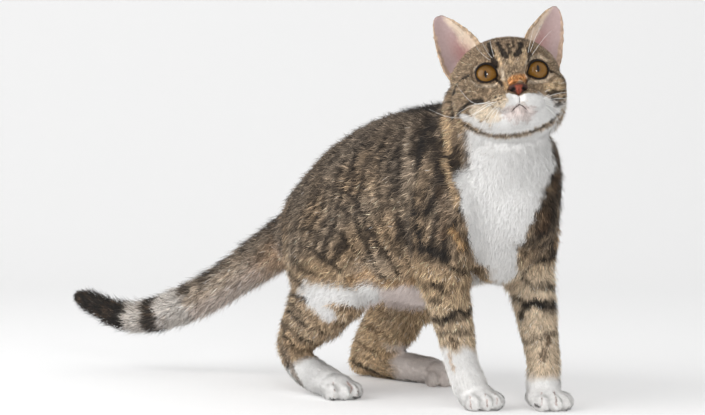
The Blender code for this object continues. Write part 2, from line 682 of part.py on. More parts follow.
def main():
    clear_scene()
    whole = fuse_forms()
    for side in (1, -1):
        press(whole, [(x * side, y, z) for x, y, z in MOUTH_LINE], MOUTH_REACH, MOUTH_DEPTH)
    flatten_soles(whole)
    thin_out(whole)
    flatten_soles(whole)
    part_body(whole)
    made = name_islands(whole)
    add_eyes_and_nose(made)
    for item in made.values():
        item.data.transform(Matrix.Translation(TO_CENTRE))
        colour(item)


if __name__ == "__main__":
    main()
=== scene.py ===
import math

import bmesh
import bpy
import numpy as np
from mathutils import Matrix, Vector
from mathutils.bvhtree import BVHTree


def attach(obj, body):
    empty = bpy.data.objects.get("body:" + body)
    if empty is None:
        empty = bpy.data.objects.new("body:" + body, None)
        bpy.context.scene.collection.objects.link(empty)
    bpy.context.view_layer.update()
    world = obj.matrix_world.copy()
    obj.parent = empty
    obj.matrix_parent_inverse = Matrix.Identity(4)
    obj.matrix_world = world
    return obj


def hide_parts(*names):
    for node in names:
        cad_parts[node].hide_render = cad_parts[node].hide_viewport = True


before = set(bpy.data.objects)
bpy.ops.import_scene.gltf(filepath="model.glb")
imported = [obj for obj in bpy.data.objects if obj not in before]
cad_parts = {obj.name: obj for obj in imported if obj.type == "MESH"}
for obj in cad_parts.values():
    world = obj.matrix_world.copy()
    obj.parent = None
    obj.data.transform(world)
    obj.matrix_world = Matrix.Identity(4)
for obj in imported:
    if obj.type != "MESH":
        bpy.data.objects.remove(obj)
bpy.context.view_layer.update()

print("frame loaded")

# The cat is built with the ground between its front paws as the origin, facing -Y, and is moved
# onto the model's own origin at the end
toOrigin = Vector((0.0170, -0.2413, 0.0))

# Camera of the photograph, in the same coordinates as the cat
view = {
    "width": 705,
    "height": 415,
    "distance": 1.8,
    "around": 50.0,  # degrees from the X axis
    "pixelsPerMetre": 1176.0,
    "eyeLevel": 0.21,
    "pawsAt": (514, 411),  # where the ground between the paws shows
}


def cameraFrame():
    turn = math.radians(view["around"])
    focal = view["pixelsPerMetre"] * view["distance"]
    away = view["distance"]
    place = np.array((-math.cos(turn) * away, -math.sin(turn) * away, view["eyeLevel"]))
    horizon = view["pawsAt"][1] - view["eyeLevel"] * view["pixelsPerMetre"]
    aim = turn + math.atan((view["pawsAt"][0] - view["width"] / 2) / focal)
    down = math.atan((view["height"] / 2 - horizon) / focal)
    ahead = np.array((math.cos(aim) * math.cos(down), math.sin(aim) * math.cos(down), -math.sin(down)))
    right = np.array((math.sin(aim), -math.cos(aim), 0.0))
    return place, ahead, right, np.cross(right, ahead), focal


def pixelRay(x, y):
    place, ahead, right, up, focal = cameraFrame()
    ray = ahead * focal + right * (x - view["width"] / 2) + up * (view["height"] / 2 - y)
    return place, ray / np.linalg.norm(ray)


# ---- body form: stations are x, y, z, half width, half depth
body = {
    "sides": 28,
    "steps": 6,
    "trunk": (
        (0.000, -0.008, 0.172, 0.034, 0.036), (0.000, 0.008, 0.177, 0.046, 0.058),
        (0.001, 0.037, 0.1845, 0.053, 0.0765), (0.001, 0.075, 0.183, 0.060, 0.081),
        (0.001, 0.120, 0.178, 0.066, 0.084), (0.000, 0.165, 0.171, 0.069, 0.082),
        (0.000, 0.205, 0.164, 0.066, 0.075), (-0.001, 0.243, 0.155, 0.060, 0.063),
        (-0.002, 0.278, 0.147, 0.050, 0.049), (-0.003, 0.305, 0.140, 0.036, 0.032),
    ),
    "neck": (
        (0.004, 0.062, 0.206, 0.054, 0.0575), (0.000, 0.035, 0.227, 0.050, 0.0510),
        (-0.007, 0.012, 0.245, 0.046, 0.045), (-0.014, 0.000, 0.262, 0.044, 0.042),
    ),
    "chest": (
        (-0.006, 0.004, 0.236, 0.040, 0.030), (0.000, -0.002, 0.205, 0.044, 0.032),
        (0.004, 0.006, 0.165, 0.042, 0.034), (0.005, 0.024, 0.132, 0.034, 0.026),
    ),
    "tail": (
        (-0.002, 0.288, 0.154, 0.027, 0.028), (-0.005, 0.328, 0.1400, 0.0250, 0.0255),
        (-0.016, 0.363, 0.119, 0.0235, 0.0240), (-0.032, 0.388, 0.100, 0.0220, 0.0220),
        (-0.052, 0.410, 0.082, 0.0212, 0.0212), (-0.072, 0.434, 0.067, 0.0200, 0.0200),
        (-0.088, 0.464, 0.058, 0.0182, 0.0182), (-0.101, 0.495, 0.0575, 0.0155, 0.0155),
        (-0.114, 0.525, 0.0672, 0.0130, 0.0130), (-0.1215, 0.5385, 0.0730, 0.0112, 0.0112),
    ),
    "flanks": (
        ((0.000, 0.130, 0.118), (0.058, 0.050, 0.034)), ((0.046, 0.185, 0.104), (0.024, 0.045, 0.026)),
        ((-0.042, 0.165, 0.106), (0.022, 0.040, 0.026)), ((0.000, 0.215, 0.125), (0.060, 0.060, 0.040)),
    ),
}
legs = {
    "frontRight": {
        "upper": ((-0.034, 0.064, 0.222, 0.016, 0.026), (-0.044, 0.040, 0.180, 0.024, 0.040),
                  (-0.048, 0.038, 0.140, 0.024, 0.036), (-0.046, 0.040, 0.112, 0.020, 0.026)),
        "lower": ((-0.046, 0.038, 0.128, 0.022, 0.028), (-0.042, 0.038, 0.098, 0.0195, 0.0225),
                  (-0.032, 0.040, 0.068, 0.0165, 0.0185), (-0.023, 0.042, 0.040, 0.0148, 0.0155),
                  (-0.018, 0.037, 0.020, 0.0155, 0.0155)),
        "paw": (-0.016, 0.031, 4.0),
    },
    "frontLeft": {
        "upper": ((0.034, 0.064, 0.222, 0.016, 0.026), (0.041, 0.040, 0.180, 0.022, 0.038),
                  (0.045, 0.036, 0.140, 0.022, 0.035), (0.044, 0.038, 0.112, 0.020, 0.025)),
        "lower": ((0.045, 0.036, 0.128, 0.021, 0.028), (0.0460, 0.029, 0.098, 0.0200, 0.0225),
                  (0.0412, 0.016, 0.068, 0.0170, 0.0185), (0.036, 0.003, 0.040, 0.0147, 0.0152),
                  (0.032, -0.001, 0.020, 0.0152, 0.0155)),
        "paw": (0.0295, -0.0055, 4.0),
    },
    "hindRight": {
        "upper": ((-0.030, 0.250, 0.175, 0.022, 0.034), (-0.040, 0.232, 0.150, 0.030, 0.050),
                  (-0.050, 0.203, 0.122, 0.029, 0.054), (-0.058, 0.170, 0.097, 0.022, 0.032),
                  (-0.062, 0.153, 0.087, 0.017, 0.018)),
        "lower": ((-0.060, 0.165, 0.096, 0.020, 0.028), (-0.062, 0.200, 0.082, 0.023, 0.036),
                  (-0.062, 0.2255, 0.062, 0.019, 0.0265), (-0.061, 0.2425, 0.045, 0.0165, 0.0178)),
        "foot": ((-0.061, 0.2460, 0.043, 0.0150, 0.0148), (-0.063, 0.228, 0.026, 0.0150, 0.0160),
                 (-0.065, 0.200, 0.017, 0.0160, 0.0150), (-0.066, 0.180, 0.014, 0.0160, 0.0130)),
        "paw": (-0.066, 0.169, 3.0),
    },
    "hindLeft": {
        "upper": ((0.028, 0.250, 0.175, 0.022, 0.034), (0.038, 0.242, 0.150, 0.030, 0.048),
                  (0.052, 0.235, 0.118, 0.028, 0.050), (0.064, 0.222, 0.086, 0.022, 0.034),
                  (0.068, 0.216, 0.074, 0.017, 0.020)),
        "lower": ((0.066, 0.236, 0.080, 0.020, 0.030), (0.069, 0.262, 0.062, 0.021, 0.034),
                  (0.071, 0.290, 0.042, 0.018, 0.026), (0.072, 0.312, 0.026, 0.016, 0.017)),
        "foot": ((0.072, 0.318, 0.017, 0.0145, 0.0160), (0.074, 0.280, 0.015, 0.0145, 0.0150),
                 (0.076, 0.240, 0.014, 0.0150, 0.0140), (0.078, 0.218, 0.0135, 0.0155, 0.0130)),
        "paw": (0.079, 0.206, -3.0),
    },
}
paw = {
    "palm": (0.0165, 0.0175, 0.0120),
    "toe": (0.0057, 0.0118, 0.0088),
    "sides": (-0.0131, -0.0045, 0.0045, 0.0131),
    "ahead": (0.0085, 0.0145, 0.0145, 0.0085),
    "height": 0.0073,
    "splay": 700.0,
}
# Head sizes are in its own frame: side, back, up
head = {
    "place": (-0.0155, -0.0100, 0.2745),
    "turn": -32.0,
    "pitch": -14.0,
    "roll": -4.0,
    "forms": (
        ((0.0, 0.004, 0.006), (0.0470, 0.0470, 0.0375)),  # skull
        ((0.0, -0.016, 0.013), (0.0370, 0.0240, 0.0240)),  # brow
        ((0.0262, -0.003, -0.009), (0.0228, 0.0295, 0.0275)),  # cheeks
        ((0.0290, 0.0200, -0.0100), (0.0225, 0.0230, 0.0290)),  # ruff behind the cheeks
        ((0.0300, -0.016, -0.006), (0.0170, 0.0180, 0.0160)),  # cheekbones
        ((0.0, -0.030, -0.023), (0.0250, 0.0205, 0.0160)),  # muzzle
        ((0.0100, -0.0395, -0.0240), (0.0130, 0.0125, 0.0098)),  # whisker pads
        ((0.0, -0.0345, -0.0365), (0.0120, 0.0118, 0.0088)),  # chin
        ((0.0, -0.012, -0.031), (0.0365, 0.0300, 0.0200)),  # jaw
        ((0.0, -0.0500, -0.0150), (0.0080, 0.0050, 0.0052)),  # nose tip
    ),
    "bridge": (
        (0.0, -0.0200, 0.0120, 0.0140, 0.0100), (0.0, -0.0310, 0.0030, 0.0110, 0.0085),
        (0.0, -0.0390, -0.0040, 0.0085, 0.0080), (0.0, -0.0455, -0.0110, 0.0080, 0.0068),
    ),
}
eye = {
    "at": (0.0206, -0.0242, 0.0042),
    "radius": 0.0110,
    "lid": 0.0016,  # thickness of the lid over the ball in the body form
    "outward": 9.0,  # degrees
    "opening": (0.0085, 0.0077),  # half width and half height
    "corner": (0.0013, 3.50, 0.34),  # reach, angle and spread of the inner corner
    "lidLift": 0.0007,  # of the lids above the ball
    "sink": 0.0029,  # of the skin inside the opening, below the lids
    "easing": (0.0012, 0.0052),  # how far out the lids pass into the face
    "bare": (0.0013, 0.0075),  # no hair so near the opening and the ball
}
ear = {
    "inner": (
        (0.0160, 0.003, 0.0300), (0.0190, 0.003, 0.0440), (0.0255, 0.0035, 0.0525), (0.0335, 0.005, 0.0605),
        (0.0405, 0.007, 0.0668), (0.0455, 0.008, 0.0702), (0.0490, 0.008, 0.0715),
    ),
    "outer": (
        (0.0440, 0.010, 0.0040), (0.0530, 0.008, 0.0200), (0.0565, 0.007, 0.0350), (0.0588, 0.007, 0.0480),
        (0.0590, 0.007, 0.0590), (0.0578, 0.008, 0.0660), (0.0550, 0.008, 0.0700),
    ),
    "back": (-0.30, 1.0, 0.0),
    "cup": 0.0150,
    "thickness": 0.0026,
    "columns": 15,
    # the left ear stands closer in and higher
    "spread": {1: 0.945, -1: 1.0},
    "rise": {1: 1.035, -1: 1.0},
}


def headFrame():
    turned = Matrix.Rotation(math.radians(head["turn"]), 4, "Z")
    pitched = Matrix.Rotation(math.radians(head["pitch"]), 4, "X")
    rolled = Matrix.Rotation(math.radians(head["roll"]), 4, "Y")
    return Matrix.Translation(head["place"]) @ turned @ pitched @ rolled


headPlace = headFrame()
headInverse = np.array(headPlace.inverted())


def toHead(points):
    return points @ headInverse[:3, :3].T + headInverse[:3, 3]


def fromHead(points):
    matrix = np.array(headPlace)
    return np.asarray(points) @ matrix[:3, :3].T + matrix[:3, 3]


def smoothRows(stations, steps):
    rows = np.array(stations, float)
    padded = np.vstack([2 * rows[0] - rows[1], rows, 2 * rows[-1] - rows[-2]])
    made = []
    for before, start, end, after in zip(padded, padded[1:], padded[2:], padded[3:]):
        for t in np.arange(steps) / steps:
            made.append(
                start
                + 0.5 * t * (end - before)
                + t * t * (before - 2.5 * start + 2 * end - 0.5 * after)
                + t**3 * (1.5 * (start - end) + 0.5 * (after - before))
            )
    made.append(rows[-1])
    return np.array(made)


def addTube(form, stations, place=Matrix.Identity(4)):
    rows = smoothRows(stations, body["steps"])
    centres = rows[:, :3]
    along = np.gradient(centres, axis=0)
    along /= np.linalg.norm(along, axis=1)[:, None]
    dome = np.radians((75, 50, 25))
    rings = []
    for turn in dome:
        reach = rows[0, 3:].min() * math.sin(turn)
        rings.append((centres[0] - along[0] * reach, along[0], rows[0, 3:] * math.cos(turn)))
    rings += list(zip(centres, along, rows[:, 3:]))
    for turn in dome[::-1]:
        reach = rows[-1, 3:].min() * math.sin(turn)
        rings.append((centres[-1] + along[-1] * reach, along[-1], rows[-1, 3:] * math.cos(turn)))
    loops = []
    angles = np.arange(body["sides"]) * 2 * math.pi / body["sides"]
    for centre, direction, (wide, deep) in rings:
        side = np.array((1.0, 0.0, 0.0)) - direction[0] * direction
        side /= np.linalg.norm(side)
        depth = np.cross(direction, side)
        points = centre + np.outer(np.cos(angles) * wide, side) + np.outer(np.sin(angles) * deep, depth)
        loops.append([form.verts.new(place @ Vector(p)) for p in points])
    for near, far in zip(loops, loops[1:]):
        for i in range(len(near)):
            j = (i + 1) % len(near)
            form.faces.new((near[i], near[j], far[j], far[i]))
    form.faces.new(loops[0][::-1])
    form.faces.new(loops[-1])


def addBall(form, at, half, place=Matrix.Identity(4), turn=0.0, detail=(32, 20)):
    turned = Matrix.Rotation(math.radians(turn), 4, "Z")
    shape = place @ Matrix.Translation(at) @ turned @ Matrix.Diagonal((*half, 1.0))
    bmesh.ops.create_uvsphere(form, u_segments=detail[0], v_segments=detail[1], radius=1.0, matrix=shape)


def addPaw(form, x, y, turn):
    place = Matrix.Translation((x, y, 0.0)) @ Matrix.Rotation(math.radians(turn), 4, "Z")
    addBall(form, (0.0, 0.0, 0.0115), paw["palm"], place)
    for side, ahead in zip(paw["sides"], paw["ahead"]):
        addBall(form, (side, -ahead, paw["height"]), paw["toe"], place, side * paw["splay"])


def earSheet(side):
    # The ear's cupped middle sheet in head coordinates, row by row from its base to its tip
    inner = smoothRows(ear["inner"], 3) * (1.0, 1.0, ear["rise"][side])
    outer = smoothRows(ear["outer"], 3) * (ear["spread"][side], 1.0, ear["rise"][side])
    back = np.array(ear["back"]) / np.linalg.norm(ear["back"])
    across = np.linspace(0.0, 1.0, ear["columns"])[:, None]
    rows = []
    for step, (near, far) in enumerate(zip(inner, outer)):
        depth = ear["cup"] * (1.0 - step / (len(inner) - 1)) ** 0.8
        points = near * (1 - across) + far * across + np.sin(across * math.pi) ** 0.8 * depth * back
        rows.append(points * (side, 1.0, 1.0))
    return np.array(rows)


def addEar(form, side):
    sheet = bmesh.new()
    rows = [[sheet.verts.new(p) for p in row] for row in earSheet(side)]
    for low, high in zip(rows, rows[1:]):
        for i in range(len(low) - 1):
            sheet.faces.new((low[i], low[i + 1], high[i + 1], high[i]))
    bmesh.ops.recalc_face_normals(sheet, faces=sheet.faces)
    bmesh.ops.solidify(sheet, geom=list(sheet.faces), thickness=ear["thickness"])
    bmesh.ops.transform(sheet, matrix=headPlace, verts=sheet.verts)
    made = bpy.data.meshes.new("earSheet")
    sheet.to_mesh(made)
    sheet.free()
    form.from_mesh(made)
    bpy.data.meshes.remove(made)


def objectOf(name, form):
    bmesh.ops.recalc_face_normals(form, faces=form.faces)
    mesh = bpy.data.meshes.new(name)
    form.to_mesh(mesh)
    form.free()
    made = bpy.data.objects.new(name, mesh)
    bpy.context.scene.collection.objects.link(made)
    return made


def applyModifiers(item):
    graph = bpy.context.evaluated_depsgraph_get()
    mesh = bpy.data.meshes.new_from_object(item.evaluated_get(graph))
    item.modifiers.clear()
    item.data = mesh


def pointsOf(mesh):
    flat = np.empty(len(mesh.vertices) * 3)
    mesh.vertices.foreach_get("co", flat)
    return flat.reshape(-1, 3)


def normalsOf(mesh):
    flat = np.empty(len(mesh.vertices) * 3)
    mesh.vertices.foreach_get("normal", flat)
    return flat.reshape(-1, 3)


def setPoints(mesh, points):
    mesh.vertices.foreach_set("co", np.ascontiguousarray(points, np.float64).ravel())
    mesh.update()


def weigh(item, name, weights):
    group = item.vertex_groups.new(name=name)
    levels = np.round(weights * 20).astype(int)
    for level in np.unique(levels):
        group.add(np.flatnonzero(levels == level).tolist(), float(level / 20), "REPLACE")
    return group.name


def smoothstep(low, high, value):
    t = np.clip((value - low) / (high - low), 0.0, 1.0)
    return t * t * (3 - 2 * t)


def fromCentre(points, centre, half=1.0):
    # Distance from a centre, with each axis in its own half size
    return np.linalg.norm((points - centre) / half, axis=1)


def onOneSide(local):
    # Head points with the right side's carried over to the left
    return np.column_stack([np.abs(local[:, 0]), local[:, 1:]])


def waves(points, size, seed, stretch=(1.0, 1.0, 1.0)):
    # A smooth random field of about -1 to 1 with spots of the given size
    rng = np.random.default_rng(seed)
    count = 18
    direction = rng.normal(size=(count, 3))
    direction /= np.linalg.norm(direction, axis=1)[:, None]
    direction *= (math.pi / size) * rng.uniform(0.65, 1.35, (count, 1)) * np.array(stretch)
    total = np.zeros(len(points))
    for k, phase in zip(direction, rng.uniform(0, 2 * math.pi, count)):
        total += np.cos(points @ k + phase)
    return total / math.sqrt(count)


def earTreeOf():
    points, faces = [], []
    for side in (1, -1):
        sheet = earSheet(side)
        rows, columns = sheet.shape[:2]
        offset = len(points)
        points += [Vector(p) for p in sheet.reshape(-1, 3)]
        for r in range(rows - 1):
            for c in range(columns - 1):
                a = offset + r * columns + c
                faces.append((a, a + 1, a + columns + 1, a + columns))
    return BVHTree.FromPolygons(points, faces), rows


earTree, earRows = earTreeOf()


def earField(local, turned=None):
    # Share of an ear, the place across and up it, and whether the surface faces the cup's inside
    share, across, up, inside = np.zeros((4, len(local)))
    cells = ear["columns"] - 1
    near = np.flatnonzero((np.abs(local[:, 0]) > 0.012) & (local[:, 2] > -0.002) & (local[:, 1] > -0.012))
    for i in near:
        spot, normal, index, apart = earTree.find_nearest(Vector(local[i]))
        cell = index % ((earRows - 1) * cells)
        up[i] = (cell // cells + 0.5) / (earRows - 1)
        across[i] = (cell % cells + 0.5) / cells
        share[i] = apart
        if turned is not None:
            front = normal if normal.y < 0 else -normal
            inside[i] = front.dot(Vector(turned[i]))
    found = np.zeros(len(local))
    reach = 0.0055 + 0.0035 * up[near]
    found[near] = smoothstep(reach, reach - 0.0021, share[near]) * smoothstep(0.0, 0.10, up[near])
    return found, across, up, inside


def insideEar(inEar, across, up, facing):
    edge = smoothstep(0.02, 0.08, across) * smoothstep(0.99, 0.93, across) * smoothstep(1.0, 0.95, up)
    return inEar * smoothstep(0.10, 0.40, facing) * edge


# ---- lie of the coat: each bone gives the way the hair points, its length, the coat's depth and a
# tuft's width
coatBones = (
    # start, end, reach, direction, tuft length, depth, width
    ((0.0, 0.060, 0.185), (0.0, 0.270, 0.155), 0.068, (0.0, 0.88, -0.47), 0.0105, 0.0039, 0.00074),
    ((0.0, 0.100, 0.110), (0.0, 0.230, 0.115), 0.045, (0.0, 0.75, -0.50), 0.0100, 0.0035, 0.00074),
    ((0.0, 0.020, 0.235), (0.0, 0.060, 0.210), 0.050, (0.0, 0.75, -0.65), 0.0100, 0.0040, 0.00068),
    ((0.0, -0.005, 0.225), (0.004, 0.015, 0.130), 0.042, (0.0, 0.12, -1.0), 0.0080, 0.0026, 0.00075),
    ((-0.044, 0.045, 0.190), (-0.046, 0.038, 0.120), 0.030, (-0.1, 0.45, -0.9), 0.0095, 0.0034, 0.00074),
    ((0.042, 0.045, 0.190), (0.045, 0.036, 0.120), 0.030, (0.1, 0.45, -0.9), 0.0095, 0.0034, 0.00074),
    ((-0.044, 0.038, 0.110), (-0.020, 0.040, 0.030), 0.018, (0.25, 0.10, -1.0), 0.0062, 0.0022, 0.00072),
    ((0.046, 0.032, 0.110), (0.033, 0.000, 0.030), 0.018, (-0.15, -0.25, -1.0), 0.0062, 0.0022, 0.00072),
    ((-0.045, 0.235, 0.145), (-0.058, 0.175, 0.100), 0.036, (-0.1, 0.45, -0.9), 0.0100, 0.0036, 0.00074),
    ((0.045, 0.242, 0.140), (0.062, 0.222, 0.085), 0.036, (0.1, 0.45, -0.9), 0.0100, 0.0036, 0.00074),
    ((-0.062, 0.180, 0.085), (-0.061, 0.245, 0.045), 0.024, (0.0, 0.80, -0.75), 0.0080, 0.0028, 0.00080),
    ((0.068, 0.240, 0.070), (0.072, 0.310, 0.025), 0.022, (0.0, 0.80, -0.75), 0.0080, 0.0028, 0.00080),
    ((-0.062, 0.240, 0.030), (-0.066, 0.175, 0.013), 0.016, (0.0, -1.0, -0.35), 0.0052, 0.0018, 0.00070),
    ((0.073, 0.305, 0.016), (0.079, 0.210, 0.013), 0.016, (0.0, -1.0, -0.15), 0.0052, 0.0018, 0.00070),
    ((-0.017, 0.035, 0.014), (-0.015, 0.015, 0.010), 0.016, (0.0, -0.85, -0.55), 0.0036, 0.0012, 0.00062),
    ((0.030, -0.002, 0.014), (0.029, -0.022, 0.010), 0.016, (0.0, -0.85, -0.55), 0.0036, 0.0012, 0.00062),
    ((-0.066, 0.172, 0.014), (-0.066, 0.150, 0.010), 0.016, (0.0, -0.85, -0.55), 0.0036, 0.0012, 0.00062),
    ((0.079, 0.210, 0.014), (0.079, 0.190, 0.010), 0.016, (0.0, -0.85, -0.55), 0.0036, 0.0012, 0.00062),
)
tailPath = smoothRows(body["tail"], 4)
headCoat = {
    "centre": (0.0, -0.002, -0.004),
    "reach": 0.050,
    "hair": (0.0058, 0.0025, 0.00048),  # length, depth, width
}
tailCoat = {"reach": 0.022, "hair": (0.0125, 0.0050, 0.00072)}


def alongSegment(points, start, end):
    start, end = np.array(start), np.array(end)
    t = np.clip((points - start) @ (end - start) / ((end - start) @ (end - start)), 0.0, 1.0)
    return np.linalg.norm(points - start - t[:, None] * (end - start), axis=1), t


def besidePath(points, path):
    # Distance from the line through a path's points
    apart = np.full(len(points), np.inf)
    for start, end in zip(path, path[1:]):
        apart = np.minimum(apart, alongSegment(points, start, end)[0])
    return apart


def alongTail(points):
    # Distance from the tail's middle line, the place along it from 0 to 1 and its direction there
    best = np.full(len(points), np.inf)
    place = np.zeros(len(points))
    direction = np.zeros((len(points), 3))
    count = len(tailPath) - 1
    for i in range(count):
        apart, t = alongSegment(points, tailPath[i, :3], tailPath[i + 1, :3])
        nearer = apart < best
        best[nearer] = apart[nearer]
        place[nearer] = (i + t[nearer]) / count
        ahead = tailPath[i + 1, :3] - tailPath[i, :3]
        direction[nearer] = ahead / np.linalg.norm(ahead)
    return best, place, direction


def coatField(points, normals):
    # Direction of the hair along the skin, tuft length, coat depth, tuft width and how much a point is head
    total = np.zeros(len(points))
    flow = np.zeros((len(points), 3))
    sizes = np.zeros((len(points), 3))

    def mix(apart, reach, direction, length, depth, width):
        nonlocal total, flow, sizes
        weight = np.clip(apart / reach, 0.35, 12.0) ** -7.0
        total += weight
        direction = np.atleast_2d(direction)
        flow += weight[:, None] * direction / np.linalg.norm(direction, axis=1)[:, None]
        sizes += weight[:, None] * np.array((length, depth, width))
        return weight

    for start, end, reach, direction, length, depth, width in coatBones:
        mix(alongSegment(points, start, end)[0], reach, direction, length, depth, width)
    apart, place, direction = alongTail(points)
    mix(apart + 0.05 * (place < 0.04), tailCoat["reach"], direction, *tailCoat["hair"])
    local = toHead(points)
    fromNose = local - np.array((0.0, -0.050, -0.020))
    fromNose[:, 2] *= 0.9
    inEar, across, up, facing = earField(local, normals @ np.array(headPlace)[:3, :3])
    fromNose = fromNose / np.linalg.norm(fromNose, axis=1)[:, None] * (1 - inEar)[:, None]
    upEar = np.stack([0.55 * np.sign(local[:, 0]), np.full(len(local), -0.1), np.ones(len(local))], 1)
    fromNose += inEar[:, None] * upEar
    outward = fromNose @ np.array(headPlace)[:3, :3].T
    apart = np.linalg.norm((local - headCoat["centre"]) * (1.0, 0.92, 1.0), axis=1)
    apart = apart * (1 - inEar) + 0.012 * inEar
    headShare = mix(apart, headCoat["reach"], outward, *headCoat["hair"])
    headShare = headShare / total
    flow /= total[:, None]
    sizes /= total[:, None]
    flow -= (flow * normals).sum(1)[:, None] * normals
    flow /= np.maximum(np.linalg.norm(flow, axis=1), 1e-6)[:, None]
    # The face's hair is shortest round the nose and the eyes
    face = headShare * smoothstep(0.075, 0.022, fromCentre(local, (0.0, -0.045, -0.010)))
    short = 1 - 0.62 * face
    cupHair = inEar * insideEar(inEar, across, up, facing)
    cupHair *= smoothstep(0.42, 0.20, across) * smoothstep(0.85, 0.60, up)
    rim = smoothstep(0.70, 0.95, np.abs(across - 0.5) * 2)
    trimmed = 0.64 + 0.20 * smoothstep(0.75, 1.0, up) * (1 - rim) + 0.16 * rim
    short *= 1 - (trimmed - 1.5 * cupHair) * inEar * headShare
    short *= 1 - 0.45 * smoothstep(0.88, 1.0, place) * (headShare < 0.2)
    sizes[:, 0] *= short
    sizes[:, 1] *= 1 - 0.66 * face
    sizes[:, 1] = sizes[:, 1] * (1 - inEar) + 0.0003 * inEar
    sizes[:, 2] *= 1 - 0.35 * face
    return flow, sizes[:, 0], sizes[:, 1], sizes[:, 2], headShare, inEar * headShare


# ---- skin
skinForm = {"voxel": 0.0014, "soften": 45, "softenFace": 6, "triangles": 190000}


def makeSkin():
    form = bmesh.new()
    for name in ("trunk", "neck", "chest", "tail"):
        addTube(form, body[name])
    for leg in legs.values():
        for name in ("upper", "lower", "foot"):
            if name in leg:
                addTube(form, leg[name])
        addPaw(form, *leg["paw"])
    for at, half in body["flanks"]:
        addBall(form, at, half)
    for at, half in head["forms"]:
        for side in (1, -1) if at[0] else (1,):
            addBall(form, (at[0] * side, at[1], at[2]), half, headPlace)
    addTube(form, head["bridge"], headPlace)
    for side in (1, -1):
        addBall(form, (eye["at"][0] * side, *eye["at"][1:]), (eye["radius"] + eye["lid"],) * 3, headPlace)
        addEar(form, side)
    skin = objectOf("skin", form)
    fuse = skin.modifiers.new("fuse", "REMESH")
    fuse.mode = "VOXEL"
    fuse.voxel_size = skinForm["voxel"]
    applyModifiers(skin)
    points = pointsOf(skin.data)
    local = toHead(points)
    away = np.clip((fromCentre(local, 0.0, (0.066, 0.062, 0.072)) - 1.0) / 0.35, 0.0, 1.0)
    paws = np.clip((points[:, 2] - 0.020) / 0.030, 0.0, 1.0)
    broad = skin.modifiers.new("softenBody", "SMOOTH")
    broad.factor, broad.iterations = 0.5, skinForm["soften"]
    broad.vertex_group = weigh(skin, "body", np.minimum(away, paws))
    fine = skin.modifiers.new("softenAll", "SMOOTH")
    fine.factor, fine.iterations = 0.5, skinForm["softenFace"]
    applyModifiers(skin)
    return skin


def eyeFrame(side):
    turn = Matrix.Rotation(math.radians(eye["outward"] * side), 4, "Z")
    return headPlace @ Matrix.Translation((eye["at"][0] * side, *eye["at"][1:])) @ turn


def openingCurve(side, count=72):
    # The almond of the lids as points on the eyeball, in the eye's frame
    angles = np.arange(count) * 2 * math.pi / count
    reach, corner, spread = eye["corner"]
    point = np.exp(-(((angles - corner) / spread) ** 2)) * reach
    wide = np.cos(angles) * (eye["opening"][0] + point) * side
    high = np.sin(angles) * (eye["opening"][1] + point)
    return wide, high


def lidGap(points, side):
    # Points near one eye in its frame, and how far outside the lids' opening each lies
    inverse = np.array(eyeFrame(side).inverted())
    local = points @ inverse[:3, :3].T + inverse[:3, 3]
    near = (np.linalg.norm(local, axis=1) < 0.026) & (local[:, 1] < 0.002)
    spot = local[near]
    angle = np.arctan2(spot[:, 2], spot[:, 0] * side) % (2 * math.pi)
    reach, corner, spread = eye["corner"]
    point = np.exp(-(((angle - corner) / spread) ** 2)) * reach
    ratio = np.hypot(spot[:, 0] / (eye["opening"][0] + point), spot[:, 2] / (eye["opening"][1] + point))
    return near, spot, np.hypot(spot[:, 0], spot[:, 2]) * (1 - 1 / np.maximum(ratio, 1e-3))


def openLids(points):
    # Inside the lids' opening the skin dips behind the eyeball, and round it the lids lie on the ball
    for side in (1, -1):
        near, spot, beyond = lidGap(points, side)
        spread = np.hypot(spot[:, 0], spot[:, 2])
        lid = eye["radius"] + eye["lidLift"]
        ball = lid - eye["sink"] * smoothstep(0.0003, -0.0006, beyond)
        keep = smoothstep(*eye["easing"], beyond)
        spot[:, 1] = spot[:, 1] * keep - np.sqrt(np.maximum(ball**2 - spread**2, 0.0)) * (1 - keep)
        onLid = (beyond > 0.0003) & (spread < lid)
        spot[onLid, 1] = np.minimum(spot[onLid, 1], -np.sqrt(lid**2 - spread[onLid] ** 2))
        matrix = np.array(eyeFrame(side))
        points[near] = spot @ matrix[:3, :3].T + matrix[:3, 3]
    return points


def noseBed(points):
    # The muzzle dips behind the nose leather
    local = toHead(points)
    apart = fromCentre(local, (0.0, -0.0500, -0.0152), (0.0086, 0.0075, 0.0056))
    back = np.array(headPlace)[:3, 1]
    return points + back * (0.0045 * smoothstep(1.15, 0.80, apart))[:, None]


def refineFace(item):
    # Smaller faces round the eyes, the nose and the mouth
    form = bmesh.new()
    form.from_mesh(item.data)
    form.verts.ensure_lookup_table()
    local = toHead(pointsOf(item.data))
    near = np.zeros(len(local), bool)
    for side in (1, -1):
        near |= fromCentre(local, (eye["at"][0] * side, eye["at"][1] - 0.006, eye["at"][2])) < 0.0155
    near |= fromCentre(local, (0.0, -0.048, -0.024), (0.019, 0.016, 0.020)) < 1.0
    chosen = set(np.flatnonzero(near).tolist())
    edges = [e for e in form.edges if e.verts[0].index in chosen and e.verts[1].index in chosen]
    bmesh.ops.subdivide_edges(form, edges=edges, cuts=1, use_grid_fill=True, smooth=0.0)
    bmesh.ops.triangulate(form, faces=[f for f in form.faces if len(f.verts) > 3])
    form.to_mesh(item.data)
    form.free()


